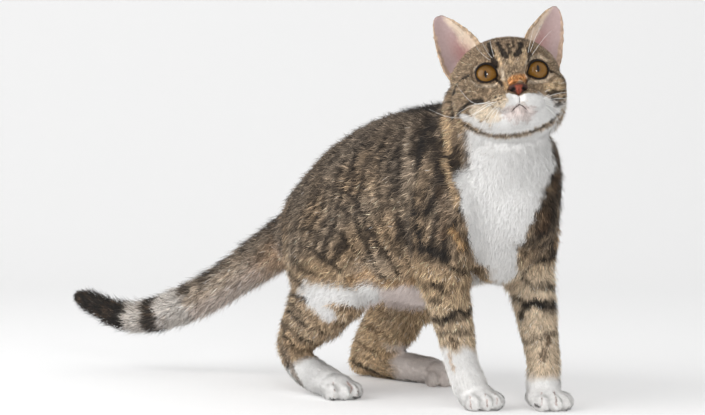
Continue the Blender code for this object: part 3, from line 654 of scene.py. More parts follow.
skin = makeSkin()
print("skin fused", len(skin.data.polygons))
thin = skin.modifiers.new("thin", "DECIMATE")
points = pointsOf(skin.data)
local = toHead(points)
fine = np.clip(1.6 - fromCentre(local, (0, -0.03, -0.01), (0.045, 0.035, 0.04)), 0.0, 1.0)
thin.ratio = skinForm["triangles"] / (2 * len(skin.data.polygons))
thin.vertex_group = weigh(skin, "detail", fine)
thin.invert_vertex_group = True
thin.vertex_group_factor = 1.0
applyModifiers(skin)
refineFace(skin)
outerPoints, outerNormals = pointsOf(skin.data), normalsOf(skin.data)
skin.data.calc_loop_triangles()
triangles = np.empty(len(skin.data.loop_triangles) * 3, np.int32)
skin.data.loop_triangles.foreach_get("vertices", triangles)
triangles = triangles.reshape(-1, 3)
outerTree = BVHTree.FromPolygons([Vector(p) for p in outerPoints], triangles.tolist())


def toPixels(points):
    place, ahead, right, up, focal = cameraFrame()
    offset = points - place
    depth = offset @ ahead
    across, rise = focal * (offset @ right) / depth, focal * (offset @ up) / depth
    return view["width"] / 2 + across, view["height"] / 2 - rise


skinPixels = np.stack(toPixels(outerPoints), 1)
hidden = ((outerPoints - cameraFrame()[0]) * outerNormals).sum(1) > 0


def onSkin(pixels):
    # Where the photograph's points lie on the cat, or on its outline for those just beside it
    found = []
    for x, y in pixels:
        start, ray = pixelRay(x, y)
        hit = outerTree.ray_cast(Vector(start), Vector(ray))[0]
        if hit is None:
            hit = outerPoints[(np.hypot(*(skinPixels - (x, y)).T) + 1000.0 * hidden).argmin()]
        found.append(hit)
    return np.array(found)


mouth = {
    "middle": ((519.4, 95.4), (519.6, 99.0), (519.7, 101.8), (519.8, 104.2)),
    "right": ((519.8, 104.2), (516.8, 106.4), (514.2, 108.8), (511.4, 111.8)),
    "left": ((519.8, 104.2), (523.2, 106.4), (526.4, 109.2), (529.8, 112.8)),
    "reach": 0.0022,
    "depth": 0.0014,
    "pads": 0.0011,  # how far the whisker pads stand out above the lips
    "chin": 0.0016,  # and the chin goes back below them
}


def calm(path, rounds=6):
    # Evens out a path between its ends
    path = np.array(path)
    for _ in range(rounds):
        path[1:-1] = (path[:-2] + 2 * path[1:-1] + path[2:]) / 4
    return path


mouthPaths = [calm(onSkin(smoothRows(mouth[name], 5))) for name in ("middle", "right", "left")]
field = coatField(outerPoints, outerNormals)
inner = outerPoints - outerNormals * field[2][:, None]
lipApart = np.full(len(inner), np.inf)
for path in mouthPaths:
    lipApart = np.minimum(lipApart, besidePath(outerPoints, path))
lips = np.vstack(mouthPaths[1:])
for i in np.flatnonzero(lipApart < 0.012):
    apart = np.linalg.norm(lips - outerPoints[i], axis=1)
    above = (outerPoints[i] - lips[apart.argmin()]) @ np.array(headPlace)[:3, 2]
    close = lipApart[i]
    if above > 0:
        inner[i] += outerNormals[i] * mouth["pads"] * math.exp(-(((close - 0.0042) / 0.0034) ** 2))
    else:
        inner[i] -= outerNormals[i] * mouth["chin"] * math.exp(-((close / 0.0065) ** 2))
inner -= outerNormals * (mouth["depth"] * np.clip(1 - lipApart / mouth["reach"], 0, 1) ** 1.2)[:, None]
inner = noseBed(inner)
inner = openLids(inner)
inner[:, 2] = np.maximum(inner[:, 2], 0.0)
setPoints(skin.data, inner)
innerNormals = normalsOf(skin.data)
innerTree = BVHTree.FromPolygons([Vector(p) for p in inner], triangles.tolist())
skin.data.shade_smooth()
print("skin set inside the coat", len(skin.data.polygons))


def hue(red, green, blue):
    # Screen values of 0 to 255 as scene-linear ones
    value = np.array((red, green, blue)) / 255
    return np.where(value <= 0.04045, value / 12.92, ((value + 0.055) / 1.055) ** 2.4)


shades = {
    "black": hue(30, 27, 25),
    "dark": hue(36, 30, 26),
    "brown": hue(80, 62, 46),
    "back": hue(98, 87, 76),
    "flank": hue(144, 128, 110),
    "warm": hue(150, 127, 101),
    "tan": hue(186, 158, 124),
    "orange": hue(188, 148, 102),
    "belly": hue(226, 212, 206),
    "cream": hue(228, 210, 186),
    "white": hue(246, 245, 243),
    # grey: the tail's pale bands, and painted shade in the folds of the throat's white fur
    "grey": hue(190, 184, 177),
    "pink": hue(172, 150, 148),
    "deepPink": hue(158, 104, 98),
    # chin: the chin's pinkish tone, greyed as painted shade of its underside
    "chin": hue(200, 184, 178),
    "bridge": hue(184, 122, 72),
    "brow": hue(160, 138, 114),
    "cheek": hue(130, 111, 90),
    "forehead": hue(124, 104, 84),
    "hock": hue(132, 116, 100),
    # painted shade under the toes, where they meet the floor
    "underToeShade": hue(52, 42, 40),
    # toeLine: painted shade in the gaps between the toes
    "toeLine": hue(168, 132, 122),
    "tailFur": hue(182, 166, 148),
    "lid": hue(36, 27, 23),
    # chest: the white fur in a greyer copy of the socks' white, as painted shade where less light falls
    "chest": hue(229, 228, 226),
    "sole": hue(248, 238, 232),
}


def mirrored(path):
    return np.array([outerTree.find_nearest(Vector((-x, y, z)))[0] for x, y, z in path])


# Strokes of colour: shade, half width in photo pixels, strength and photo points. The torso's are
# repeated on the far side
torsoStrokes = (
    ("black", 8, 0.85, ((402, 110), (420, 108), (438, 109))),
    ("dark", 6, 0.75, ((426, 118), (434, 128))),
    ("black", 4.2, 0.95, ((424, 128), (419, 150), (415, 170), (412, 195), (413, 215), (417, 237))),
    ("dark", 5.5, 0.8, ((430, 128), (435, 162), (438, 175), (435, 195), (425, 212))),
    ("dark", 2.8, 0.75, ((403, 130), (398, 150), (395, 175), (394, 200), (398, 225), (404, 243))),
    ("dark", 3.38, 0.7, ((386, 128), (380, 150), (377, 172), (376, 195), (381, 215))),
    ("dark", 2.6, 0.75, ((367, 143), (366, 158), (362, 175), (360, 192))),
    ("dark", 2.6, 0.75, ((353, 150), (353, 178), (349, 195))),
    ("dark", 2.4, 0.75, ((338, 152), (335, 170), (333, 186))),
    ("dark", 2.4, 0.7, ((322, 165), (318, 180), (312, 202))),
    ("dark", 2.4, 0.65, ((306, 180), (302, 198), (299, 216))),
    ("dark", 2.2, 0.7, ((327, 183), (322, 193), (320, 206))),
    ("dark", 2.8, 0.85, (
        (335, 205), (345, 212), (352, 218), (357, 233), (363, 245), (370, 260), (378, 275), (385, 282),
    )),
    ("dark", 2.8, 0.85, ((343, 192), (357, 203), (363, 222), (373, 242), (387, 258), (398, 277))),
    ("dark", 2.6, 0.8, ((328, 225), (342, 238), (353, 252), (363, 263))),
    ("dark", 2.4, 0.7, ((371, 205), (379, 224), (389, 242), (400, 257), (408, 268))),
    ("dark", 2.8, 0.8, ((297, 245), (310, 250), (318, 257), (328, 262), (340, 272))),
    ("dark", 2.8, 0.75, ((291, 258), (300, 272), (313, 275))),
    ("dark", 2.4, 0.65, ((300, 226), (312, 232), (324, 240))),
    ("dark", 2.2, 0.6, ((392, 214), (402, 232), (410, 250))),
    ("orange", 5, 0.5, ((350, 280), (364, 272), (380, 285), (412, 284))),
    ("tan", 7, 0.85, ((444, 116), (446, 130), (446, 146))),
    ("tan", 3.5, 0.75, ((443, 160), (449, 180), (457, 205))),
    ("flank", 4.5, 0.75, ((408, 122), (405, 145), (404, 170), (404, 195))),
    ("tan", 3.5, 0.65, ((445, 112), (446, 122), (449, 132))),
    ("orange", 3.5, 0.6, ((451, 232), (463, 249))),
    ("brown", 6, 0.5, ((440, 190), (443, 215), (440, 235))),
    ("brown", 7, 0.55, ((545, 229), (548, 216))),
)
legStrokes = (
    ("dark", 3, 0.8, ((562, 205), (563, 222))),
    ("brown", 4, 0.75, ((557, 150), (560, 172), (556, 192))),
    # The knee's white patch in the greyer chest white, as painted shade
    ("chest", 8, 0.75, ((300, 289), (312, 292), (330, 294))),
    ("chest", 9, 0.97, ((308, 297), (322, 298), (340, 297), (360, 298), (376, 299))),
    ("chest", 8, 0.97, ((312, 303), (320, 311), (328, 317))),
    ("chest", 6, 0.8, ((352, 301), (362, 303), (372, 304))),
    ("warm", 5, 0.9, ((340, 311), (347, 312), (354, 316))),
    ("brown", 2.6, 0.85, ((341, 309), (348, 311))),
    ("belly", 6, 0.9, ((384, 296), (400, 297), (418, 299))),
    ("belly", 6, 0.9, ((384, 304), (400, 306), (420, 307))),
    ("black", 5, 0.92, ((420, 247), (433, 253), (445, 259))),
    ("black", 1.7, 0.88, ((449, 267), (459, 273), (467, 277))),
    ("dark", 4, 0.8, ((432, 285), (441, 287))),
    ("dark", 3.4, 0.8, ((430, 302), (439, 303))),
    ("black", 3.5, 0.92, ((471, 313), (456, 313), (447, 318))),
    ("dark", 3.5, 0.8, ((433, 320), (441, 325))),
    ("brown", 4, 0.75, ((451, 341), (455, 346))),
    ("orange", 2.5, 0.55, ((449, 355), (452, 371))),
    ("black", 5, 0.88, ((554, 245), (553, 256))),
    ("black", 2.2, 0.88, ((546, 261), (533, 266), (525, 273), (521, 280))),
    ("dark", 3, 0.75, ((550, 286), (556, 288))),
    ("black", 4.5, 0.92, ((519, 317), (523, 308), (533, 303), (545, 304), (556, 305))),
    ("brown", 4, 0.75, ((550, 338), (548, 344))),
    ("brown", 4, 0.7, ((545, 352), (541, 358))),
    ("dark", 2.6, 0.8, ((286, 271), (293, 280), (301, 287))),
    ("dark", 2.6, 0.85, ((287, 293), (295, 297), (304, 301))),
    ("black", 2.6, 0.88, ((286, 311), (293, 316), (302, 325))),
    ("black", 2.2, 0.85, ((282, 334), (288, 341), (292, 346))),
    ("black", 2.2, 0.88, ((299, 340), (310, 343), (322, 348))),
    ("dark", 2.2, 0.8, ((311, 330), (318, 332), (326, 336))),
    ("brown", 3, 0.7, ((336, 326), (340, 328))),
    ("hock", 5, 0.8, ((281, 349), (289, 366), (299, 383))),
    ("dark", 1.8, 0.6, ((281, 352), (288, 368))),
    ("brown", 3, 0.6, ((366, 328), (380, 333))),
    ("brown", 3, 0.6, ((360, 346), (374, 352))),
    ("dark", 3.5, 0.85, ((352, 363), (372, 372), (394, 382), (414, 385))),
    # Painted shade in the gaps between the toes
    ("toeLine", 0.8, 0.75, ((469.5, 396), (470, 403), (470.5, 409))),
    ("toeLine", 0.8, 0.75, ((485, 393), (487, 400), (487, 407))),
    ("toeLine", 0.8, 0.65, ((495, 393), (497, 399), (497, 404))),
    ("toeLine", 0.8, 0.7, ((541.5, 392), (541.5, 399), (541, 405))),
    ("toeLine", 0.8, 0.7, ((554.5, 391), (556, 398), (556, 405))),
    ("toeLine", 0.8, 0.8, ((333, 382), (334.5, 390), (334, 397))),
    ("toeLine", 1, 0.8, ((348, 382), (352, 387), (351, 394))),
    ("toeLine", 0.9, 0.7, ((357, 387), (358.5, 391), (357, 396))),
    # Painted shade under the toes, where they meet the floor
    ("underToeShade", 1.6, 0.9, ((330, 399.5), (334, 400))),
    ("underToeShade", 1.2, 0.8, ((343, 400.5), (346, 400.5))),
    ("underToeShade", 1.6, 0.9, ((354, 398.5), (357, 397.5))),
    ("underToeShade", 1.6, 0.85, ((534, 405), (539, 407))),
)
faceStrokes = (
    # Painted shade in the soft folds of the throat's white fur
    ("grey", 0.9, 0.5, ((457, 136), (468, 146), (480, 153), (492, 157))),
    ("grey", 0.8, 0.4, ((468, 138), (480, 145), (494, 149))),
    # Whites of the throat, muzzle and chin in the greyer chest white, as painted shade
    ("chest", 15, 0.95, ((512, 120), (530, 120))),
    ("chest", 11, 0.9, ((519, 128), (500, 124), (540, 124))),
    ("cream", 8, 0.75, ((476, 113), (492, 115))),
    ("cream", 8, 0.7, ((499, 101), (506, 102))),
    ("tan", 6, 0.55, ((494, 97), (502, 96))),
    ("chest", 9, 0.95, ((534, 101), (546, 104), (551, 110))),
    ("chest", 6, 0.9, ((511, 108), (513, 102))),
    ("cream", 1.7, 0.36, ((471, 80), (478, 85), (488, 86), (496, 84))),
    ("cream", 1.6, 0.3, ((473, 68), (482, 62), (492, 64), (497, 70))),
    ("cream", 2, 0.5, ((499, 66), (502, 73), (503, 80))),
    ("cream", 1.8, 0.5, ((528, 78), (527, 70), (527, 62), (532, 57))),
    ("cream", 2.2, 0.5, ((530, 81), (537, 81.5), (547, 79), (552, 73))),
    ("cream", 1.6, 0.3, ((533, 57), (541, 55), (550, 60))),
    ("brow", 6, 0.6, ((505, 62), (518, 60))),
    ("tan", 2.4, 0.7, ((494, 48), (497, 56), (500, 63))),
    ("tan", 2.4, 0.6, ((511, 55), (512, 62))),
    ("tan", 2.6, 0.7, ((525, 50), (524, 58), (523, 64))),
    # The chin's pinkish tone, greyed as painted shade of its underside, and darker as painted shade just
    # under the lip
    ("chin", 9, 0.7, ((512, 114), (528, 114))),
    ("chin", 5.5, 0.6, ((516, 110), (524, 110))),
    ("orange", 2.6, 0.5, ((504, 82), (506, 88))),
    ("bridge", 4.8, 0.92, ((510, 79.5), (517, 77.5), (525, 79.5))),
    ("black", 2.08, 0.9, ((488, 41), (489, 46), (491, 52))),
    ("dark", 2.34, 0.95, ((490.5, 50), (492, 56), (495, 63))),
    ("black", 2.6, 0.92, ((497, 41), (499, 45), (502, 50), (506, 56))),
    ("dark", 1.69, 0.75, ((507, 43), (509, 47), (510, 52))),
    ("dark", 1.56, 0.7, ((513, 40), (513, 46))),
    ("black", 2.6, 0.92, ((520, 42), (521, 47), (519, 52), (517, 55))),
    ("dark", 1.95, 0.8, ((524, 39), (522, 44))),
    ("dark", 1.95, 0.85, ((528, 48), (530, 54), (530, 58))),
    ("dark", 2.86, 0.7, ((484, 39), (500, 38), (523, 38.5))),
    ("black", 2.21, 0.95, ((468, 75), (460, 79), (455, 84))),
    ("black", 3, 1, ((457, 82), (453, 91), (450.5, 98), (449.5, 107), (451, 118))),
    ("dark", 2.08, 0.7, ((447, 80), (445, 90), (445, 98))),
    ("tan", 6.5, 0.8, ((552, 88), (560, 84), (563, 95))),
    ("black", 2.21, 0.9, ((481, 102), (473, 102), (464, 106), (458, 113), (455, 119))),
    ("chest", 5, 0.8, ((463, 119), (472, 123), (484, 127))),
    ("chest", 3.4, 0.92, ((509, 95.5), (514, 98), (519.5, 99.5), (525, 97.5), (530, 94.5))),
    ("black", 1.69, 0.85, ((548.5, 68), (556, 71), (563, 77), (567, 86))),
    ("black", 2.34, 0.85, ((549, 93), (557, 92.5), (566, 91))),
    ("black", 1.82, 0.8, ((553, 98.5), (560, 99.5), (566, 97))),
    ("dark", 2.34, 0.75, ((557, 106), (563, 104))),
    ("dark", 1.69, 0.85, ((496.5, 78), (499, 81), (501.5, 85))),
    ("dark", 1.43, 0.8, ((529.5, 78.5), (527.5, 81), (526.8, 84))),
    ("dark", 1.3, 0.85, ((494.2, 97.2), (495.6, 96.8))),
    ("dark", 1.3, 0.85, ((499.2, 95.6), (500.8, 95.2))),
    ("brown", 1.17, 0.75, ((497, 99.8), (498.2, 99.4))),
    ("brown", 1.17, 0.75, ((502, 98.4), (503.2, 98))),
    ("brown", 1.17, 0.7, ((493, 102), (494.2, 101.6))),
    ("brown", 1.17, 0.7, ((499, 103.4), (500.2, 103))),
    ("brown", 1.17, 0.65, ((534, 91.2), (535, 91.2))),
    ("tan", 5, 0.75, (
        (455, 121), (462, 126), (470, 130), (483, 135.5), (498, 138), (520, 137), (536, 132), (549, 126),
        (558, 119), (563, 112),
    )),
    ("brown", 3.2, 0.7, (
        (455, 121), (462, 126), (470, 130), (483, 135), (498, 137.5), (520, 136.5), (536, 131.5),
        (549, 125.5), (558, 118), (563, 112),
    )),
    ("dark", 1.95, 0.85, ((462, 126), (470, 130), (483, 134.5))),
    ("dark", 1.2, 0.5, ((492, 135.5), (497, 136))),
    ("dark", 1.2, 0.5, ((506, 136), (515, 135.5))),
    ("dark", 1.5, 0.8, ((530, 133), (538, 130.5), (545, 127))),
    ("dark", 1.95, 0.8, ((552, 122), (559, 115))),
)
# Bands round the legs: leg place x and y, height, slope ahead, slope aside, half height, strength
legBands = (
    ((-0.044, 0.038), 0.128, 0.30, -0.25, 0.0050, 0.75), ((-0.042, 0.038), 0.108, 0.20, 0.10, 0.0032, 0.55),
    ((-0.036, 0.040), 0.083, 0.10, 0.25, 0.0036, 0.75), ((-0.028, 0.041), 0.064, -0.20, 0.10, 0.0030, 0.50),
    ((0.046, 0.032), 0.136, 0.30, 0.30, 0.0050, 0.75), ((0.046, 0.028), 0.108, 0.20, -0.10, 0.0032, 0.60),
    ((0.042, 0.016), 0.088, 0.15, -0.20, 0.0040, 0.80), ((0.038, 0.006), 0.060, -0.10, 0.10, 0.0034, 0.55),
    ((-0.062, 0.215), 0.083, 0.35, 0.10, 0.0034, 0.60), ((-0.062, 0.235), 0.064, 0.35, 0.10, 0.0032, 0.65),
    ((-0.062, 0.245), 0.046, 0.30, 0.10, 0.0030, 0.55), ((0.070, 0.265), 0.072, 0.35, 0.10, 0.0034, 0.75),
    ((0.070, 0.285), 0.055, 0.35, 0.10, 0.0032, 0.75), ((0.072, 0.305), 0.040, 0.30, 0.10, 0.0030, 0.70),
    ((0.062, 0.235), 0.122, 0.35, 0.10, 0.0036, 0.75), ((0.064, 0.235), 0.102, 0.35, 0.10, 0.0036, 0.80),
    ((0.068, 0.240), 0.086, 0.30, 0.10, 0.0030, 0.75),
)
# Columns of the tail's rings, from its tip, with shade and strength
tailRings = (
    (60, 129, "black", 0.99), (129, 146, "grey", 0.85), (146, 162, "black", 0.95), (162, 186, "grey", 0.90),
    (186, 197, "black", 0.90), (209, 217, "dark", 0.70), (229, 237, "dark", 0.70), (251, 259, "dark", 0.60),
)
chestSides = {
    "right": ((452, 133), (443, 157), (450, 177), (462, 199), (464, 221), (471, 243), (475, 263), (474, 281)),
    "left": ((552, 137), (554, 151), (557, 171), (545, 193), (537, 213), (529, 233), (519, 245), (517, 273)),
}
pixel = 0.00085  # metres to a photo pixel on the cat
strokePaths = []
for stroke in torsoStrokes + legStrokes + faceStrokes:
    shade, wide, strength, pixels = stroke
    path = onSkin(pixels)
    strokePaths.append((shades[shade], wide * pixel, strength, path))
    if stroke in torsoStrokes:
        strokePaths.append((shades[shade], wide * pixel, strength * 0.95, mirrored(path)))
chestEdges = {side: onSkin(pixels) for side, pixels in chestSides.items()}
tailColumns = toPixels(tailPath[:, :3])[0]


def lay(colours, shade, amount):
    return colours + (np.asarray(shade) - colours) * np.clip(amount, 0.0, 1.0)[:, None]


def coatColours(points, normals):
    ragged = waves(points, 0.010, 5)
    fine = waves(points, 0.0042, 6)
    grain = 0.60 * waves(points, 0.0013, 7) + 0.45 * waves(points, 0.0027, 8)
    local = toHead(points)
    apart, tailPlace, _ = alongTail(points)
    x, y, z = points.T
    side = np.abs(x)
    onTail = smoothstep(0.03, 0.10, tailPlace) * smoothstep(0.040, 0.030, apart) * smoothstep(0.29, 0.32, y)
    onHead = smoothstep(1.12, 0.94, fromCentre(local, (0, 0, 0.006), (0.064, 0.062, 0.068)))
    spine = np.interp(y, (0.0, 0.04, 0.12, 0.20, 0.28, 0.33), (0.262, 0.262, 0.262, 0.246, 0.200, 0.165))
    down = (spine - z) / 0.13  # 0 on the back, 1 under the belly
    colours = np.tile(shades["flank"], (len(points), 1))
    colours = lay(colours, shades["warm"], 0.5 + 0.5 * waves(points, 0.030, 9))
    colours = lay(colours, shades["back"], 0.85 * (1 - smoothstep(0.10, 0.75, down + 0.08 * ragged)))
    # Broken upright stripes of the coat
    phase = (y + 0.25 * (z - 0.17)) / 0.0135 * 2 * math.pi + 1.5 * waves(points, 0.026, 11)
    stripe = smoothstep(-0.10, 0.40, np.sin(phase) + 0.50 * fine + 0.20 * grain)
    stripe *= smoothstep(-0.7, 0.0, waves(points, 0.018, 12, (1, 1, 0.5)))
    flecks = smoothstep(0.35, 0.95, waves(points, 0.0040, 23, (1, 1, 0.55)) + 0.25 * grain)
    stripe = np.maximum(stripe, 0.75 * flecks)
    colours = lay(colours, shades["dark"], 0.90 * stripe * smoothstep(1.15, 0.95, down))
    ridge = smoothstep(0.022, 0.006, side + 0.004 * ragged) * (down < 0.5)
    colours = lay(colours, shades["dark"], 0.85 * ridge)
    shoulder = smoothstep(0.115, 0.085, y + 0.006 * ragged) * smoothstep(0.125, 0.150, z)
    shoulder *= smoothstep(-0.8, 0.6, ragged + 0.5)
    shoulder *= smoothstep(-0.60, 0.00, waves(points, 0.019, 24, (1, 1, 0.7)) + 0.35 * fine + 0.2 * grain)
    colours = lay(colours, shades["dark"], 0.84 * shoulder * (1 - onHead))
    under = smoothstep(1.16, 1.25, down + 0.03 * ragged) * smoothstep(0.30, 0.25, y)
    under *= smoothstep(0.05, 0.10, y) * smoothstep(0.052, 0.040, side)
    under *= smoothstep(0.05, -0.35, normals[:, 2])
    colours = lay(colours, shades["belly"], under)
    # Legs
    leg = smoothstep(0.135, 0.105, z) * (1 - onTail) * (1 - under)
    front = smoothstep(0.10, 0.07, y)
    # The left legs, on the far side, get more tan and cream: partly their own paler coat, partly painted
    # light against the shade they stand in
    left = x > 0
    colours = lay(colours, shades["tan"], (0.75 + 0.15 * left) * leg * front)
    low = smoothstep(0.11 + 0.03 * left, 0.06 + 0.05 * left, z)
    colours = lay(colours, shades["cream"], (0.30 + 0.25 * left) * leg * front * low)
    colours = lay(colours, shades["tan"], (0.25 + 0.50 * left) * leg * (1 - front))
    for (atX, atY), height, slopeY, slopeX, half, strength in legBands:
        offset = z - height - slopeY * (y - atY) - slopeX * (x - atX) - 0.0022 * ragged
        close = smoothstep(0.034, 0.026, np.hypot(x - atX, y - atY))
        if atX > 0 and atY > 0.1:
            close *= 0.35 + 0.65 * smoothstep(-0.1, 0.5, normals[:, 0])
        colours = lay(colours, shades["dark"], strength * np.exp(-((offset / half) ** 4)) * close)
    # White knee patch of the hind leg, and the pale inside of the thighs
    knee = fromCentre(points, (0.036, 0.200, 0.100), (0.034, 0.042, 0.022))
    knee = np.minimum(knee, fromCentre(points, (-0.034, 0.160, 0.100), (0.024, 0.040, 0.022)))
    colours = lay(colours, shades["belly"], 0.90 * np.exp(-(knee**4)))
    # Tail
    dorsal = smoothstep(-0.2, 0.9, normals[:, 2]) * onTail
    colours = lay(colours, shades["tailFur"], 0.85 * onTail * smoothstep(0.10, 0.45, tailPlace))
    colours = lay(colours, shades["belly"], 0.50 * onTail * smoothstep(0.1, -0.7, normals[:, 2]))
    root = np.exp(-(((tailPlace - 0.16) / 0.10) ** 2)) * smoothstep(0.2, -0.5, normals[:, 2])
    colours = lay(colours, shades["orange"], 0.55 * onTail * root)
    column = np.interp(tailPlace, np.linspace(0, 1, len(tailColumns)), tailColumns)
    column = column + 2.6 * ragged + 1.6 * fine
    spots = smoothstep(0.2, 0.8, waves(points, 0.0075, 21) + 0.3 * grain) * smoothstep(186, 200, column)
    colours = lay(colours, shades["dark"], 0.70 * spots * onTail * smoothstep(-0.9, 0.3, normals[:, 2]))
    mottle = smoothstep(0.3, 0.9, waves(points, 0.0045, 27) + 0.4 * grain) * onTail
    for start, end, shade, strength in tailRings:
        inside = smoothstep(start - 2.5, start + 2.5, column) * (1 - smoothstep(end - 2.5, end + 2.5, column))
        if shade != "grey" and end >= 170:
            level = 0.3 * (end > 190)
            inside *= smoothstep(level - 0.3, level + 0.3, normals[:, 2])  # only above
        colours = lay(colours, shades[shade], strength * inside * onTail)
    colours = lay(colours, shades["brown"], 0.45 * mottle)
    dorsal = smoothstep(0.45, 0.95, dorsal) * smoothstep(185, 215, column)
    colours = lay(colours, shades["dark"], 0.55 * dorsal)
    # Head
    colours = lay(colours, shades["cheek"], onHead)
    crown = onHead * smoothstep(0.010, 0.034, local[:, 2]) * smoothstep(-0.9, 0.3, fine + 0.8)
    colours = lay(colours, shades["forehead"], 0.75 * crown)
    nape = onHead * smoothstep(0.000, 0.025, local[:, 1])
    lines = smoothstep(0.1, 0.8, np.sin(local[:, 0] / 0.0062 * math.pi + 0.8 * ragged))
    colours = lay(colours, shades["dark"], 0.65 * lines * nape * smoothstep(-0.020, 0.010, local[:, 2]))
    # White of the chest and throat, between its two edges in the photograph, in the greyer chest white as
    # painted shade
    right = np.interp(z, chestEdges["right"][::-1, 2], chestEdges["right"][::-1, 0])
    left = np.interp(z, chestEdges["left"][::-1, 2], chestEdges["left"][::-1, 0])
    between = smoothstep(-0.0025, 0.0025, np.minimum(x - right, left - x) + 0.0016 * ragged + 0.0010 * fine)
    depth = np.interp(z, (0.10, 0.15, 0.20, 0.25), (0.075, 0.030, 0.012, 0.000))
    between *= smoothstep(0.006, -0.006, y - depth) * smoothstep(0.268, 0.250, z)
    colours = lay(colours, shades["chest"], 0.97 * between)
    # White socks
    level = z + 0.003 * ragged
    socks = smoothstep(0.056, 0.046, level) * (y < 0.08) * (x < 0.012)
    socks = np.maximum(socks, smoothstep(0.034, 0.024, level) * (y < 0.06) * (x > 0.008))
    slope = z + 0.45 * (y - 0.205) + 0.002 * ragged
    socks = np.maximum(socks, smoothstep(0.040, 0.030, slope) * (y > 0.10) * (x < 0))
    colours = lay(colours, shades["white"], 0.95 * socks * (1 - onTail))
    far = smoothstep(0.040, 0.030, level) * smoothstep(0.264, 0.246, y + 0.004 * ragged)
    colours = lay(colours, shades["sole"], 0.94 * far * (y > 0.10) * (x > 0) * (1 - onTail))
    for shade, wide, strength, path in strokePaths:
        low, high = path.min(0) - wide * 2.2, path.max(0) + wide * 2.2
        near = np.flatnonzero(((points > low) & (points < high)).all(1))
        if not len(near):
            continue
        edge = besidePath(points[near], path) / wide
        edge += 0.12 * ragged[near] + 0.16 * fine[near] + 0.28 * grain[near]
        colours[near] = lay(colours[near], shade, strength * smoothstep(1.40, 0.70, edge))
    # Dark margins of the lids, wider above, where the extra width partly stands for the upper lid's shade
    for side in (1, -1):
        near, spot, beyond = lidGap(points, side)
        margin = 0.0010 + 0.0010 * smoothstep(-0.002, 0.005, spot[:, 2])
        margin = smoothstep(margin + 0.0006, margin, beyond)
        margin *= smoothstep(eye["radius"] + 0.0075, eye["radius"] + 0.0055, fromCentre(spot, 0.0))
        colours[near] = lay(colours[near], shades["lid"], 0.96 * margin)
    # Ears: pink inside, pale rim, brown backs
    turned = normals @ np.array(headPlace)[:3, :3]
    inEar, across, up, facing = earField(local, turned)
    colours = lay(colours, shades["forehead"], 0.7 * inEar)
    rim = inEar * smoothstep(0.75, 0.97, np.abs(across - 0.5) * 2)
    colours = lay(colours, shades["tan"], 0.7 * rim)
    inside = insideEar(inEar, across, up, facing)
    colours = lay(colours, shades["pink"], 0.97 * inside)
    deep = inside * smoothstep(0.60, 0.15, up)
    deep *= smoothstep(0.85, 0.45, across) * smoothstep(0.02, 0.22, across)
    colours = lay(colours, shades["deepPink"], 0.65 * deep)
    inner = inside * smoothstep(0.40, 0.16, across + 0.06 * ragged)
    colours = lay(colours, shades["cream"], 0.75 * inner * smoothstep(0.9, 0.6, up))
    # Ticked hair: light and dark flecks in all but the palest parts
    pale = smoothstep(0.30, 0.65, colours.mean(1))
    return colours * np.exp(grain * (0.56 * (1 - pale) + 0.03) * (1 - inside))[:, None]


skinColours = coatColours(outerPoints, outerNormals)
flow, tuftLength, coatDepth, tuftWidth, headShare, earShare = field
print("colours laid")


def paintMesh(mesh, name, colours):
    layer = mesh.color_attributes.new(name, "FLOAT_COLOR", "POINT")
    values = np.ones((len(mesh.vertices), 4), np.float32)
    values[:, :3] = colours
    layer.data.foreach_set("color", values.ravel())


def meshOf(name, points, faces, normals=None):
    mesh = bpy.data.meshes.new(name)
    faces = np.asarray(faces, np.int32)
    mesh.vertices.add(len(points))
    mesh.vertices.foreach_set("co", np.ascontiguousarray(points, np.float32).ravel())
    mesh.loops.add(faces.size)
    mesh.loops.foreach_set("vertex_index", faces.ravel())
    mesh.polygons.add(len(faces))
    mesh.polygons.foreach_set("loop_start", np.arange(0, faces.size, faces.shape[1], dtype=np.int32))
    mesh.update(calc_edges=True)
    mesh.validate()
    mesh.shade_smooth()
    if normals is not None:
        mesh.normals_split_custom_set_from_vertices(normals.tolist())
    made = bpy.data.objects.new(name, mesh)
    bpy.context.scene.collection.objects.link(made)
    return made


def nodeMaterial(name, roughness, **values):
    made = bpy.data.materials.new(name)
    made.use_nodes = True
    shader = made.node_tree.nodes["Principled BSDF"]
    shader.inputs["Roughness"].default_value = roughness
    for key, value in values.items():
        shader.inputs[key].default_value = value
    return made, made.node_tree, shader


def paintNode(tree):
    # The colour laid on a mesh's points
    paint = tree.nodes.new("ShaderNodeAttribute")
    paint.attribute_name = "coat"
    return paint.outputs["Color"]


def coatMaterial(name, roughness, bump):
    # Painted colour with a little fine mottling and, on the skin, the grain of short hair
    made, tree, shader = nodeMaterial(name, roughness, **{"Specular IOR Level": 0.25})
    place = tree.nodes.new("ShaderNodeTexCoord")
    grain = tree.nodes.new("ShaderNodeTexNoise")
    grain.inputs["Scale"].default_value = 420.0
    grain.inputs["Detail"].default_value = 3.0
    tree.links.new(place.outputs["Object"], grain.inputs["Vector"])
    ramp = tree.nodes.new("ShaderNodeMapRange")
    ramp.inputs["To Min"].default_value = 0.86
    ramp.inputs["To Max"].default_value = 1.14
    tree.links.new(grain.outputs["Fac"], ramp.inputs["Value"])
    mottle = tree.nodes.new("ShaderNodeVectorMath")
    mottle.operation = "SCALE"
    tree.links.new(paintNode(tree), mottle.inputs[0])
    tree.links.new(ramp.outputs["Result"], mottle.inputs["Scale"])
    tree.links.new(mottle.outputs[0], shader.inputs["Base Color"])
    if bump:
        relief = tree.nodes.new("ShaderNodeBump")
        relief.inputs["Strength"].default_value = bump
        relief.inputs["Distance"].default_value = 0.0006
        tree.links.new(grain.outputs["Fac"], relief.inputs["Height"])
        tree.links.new(relief.outputs["Normal"], shader.inputs["Normal"])
    return made


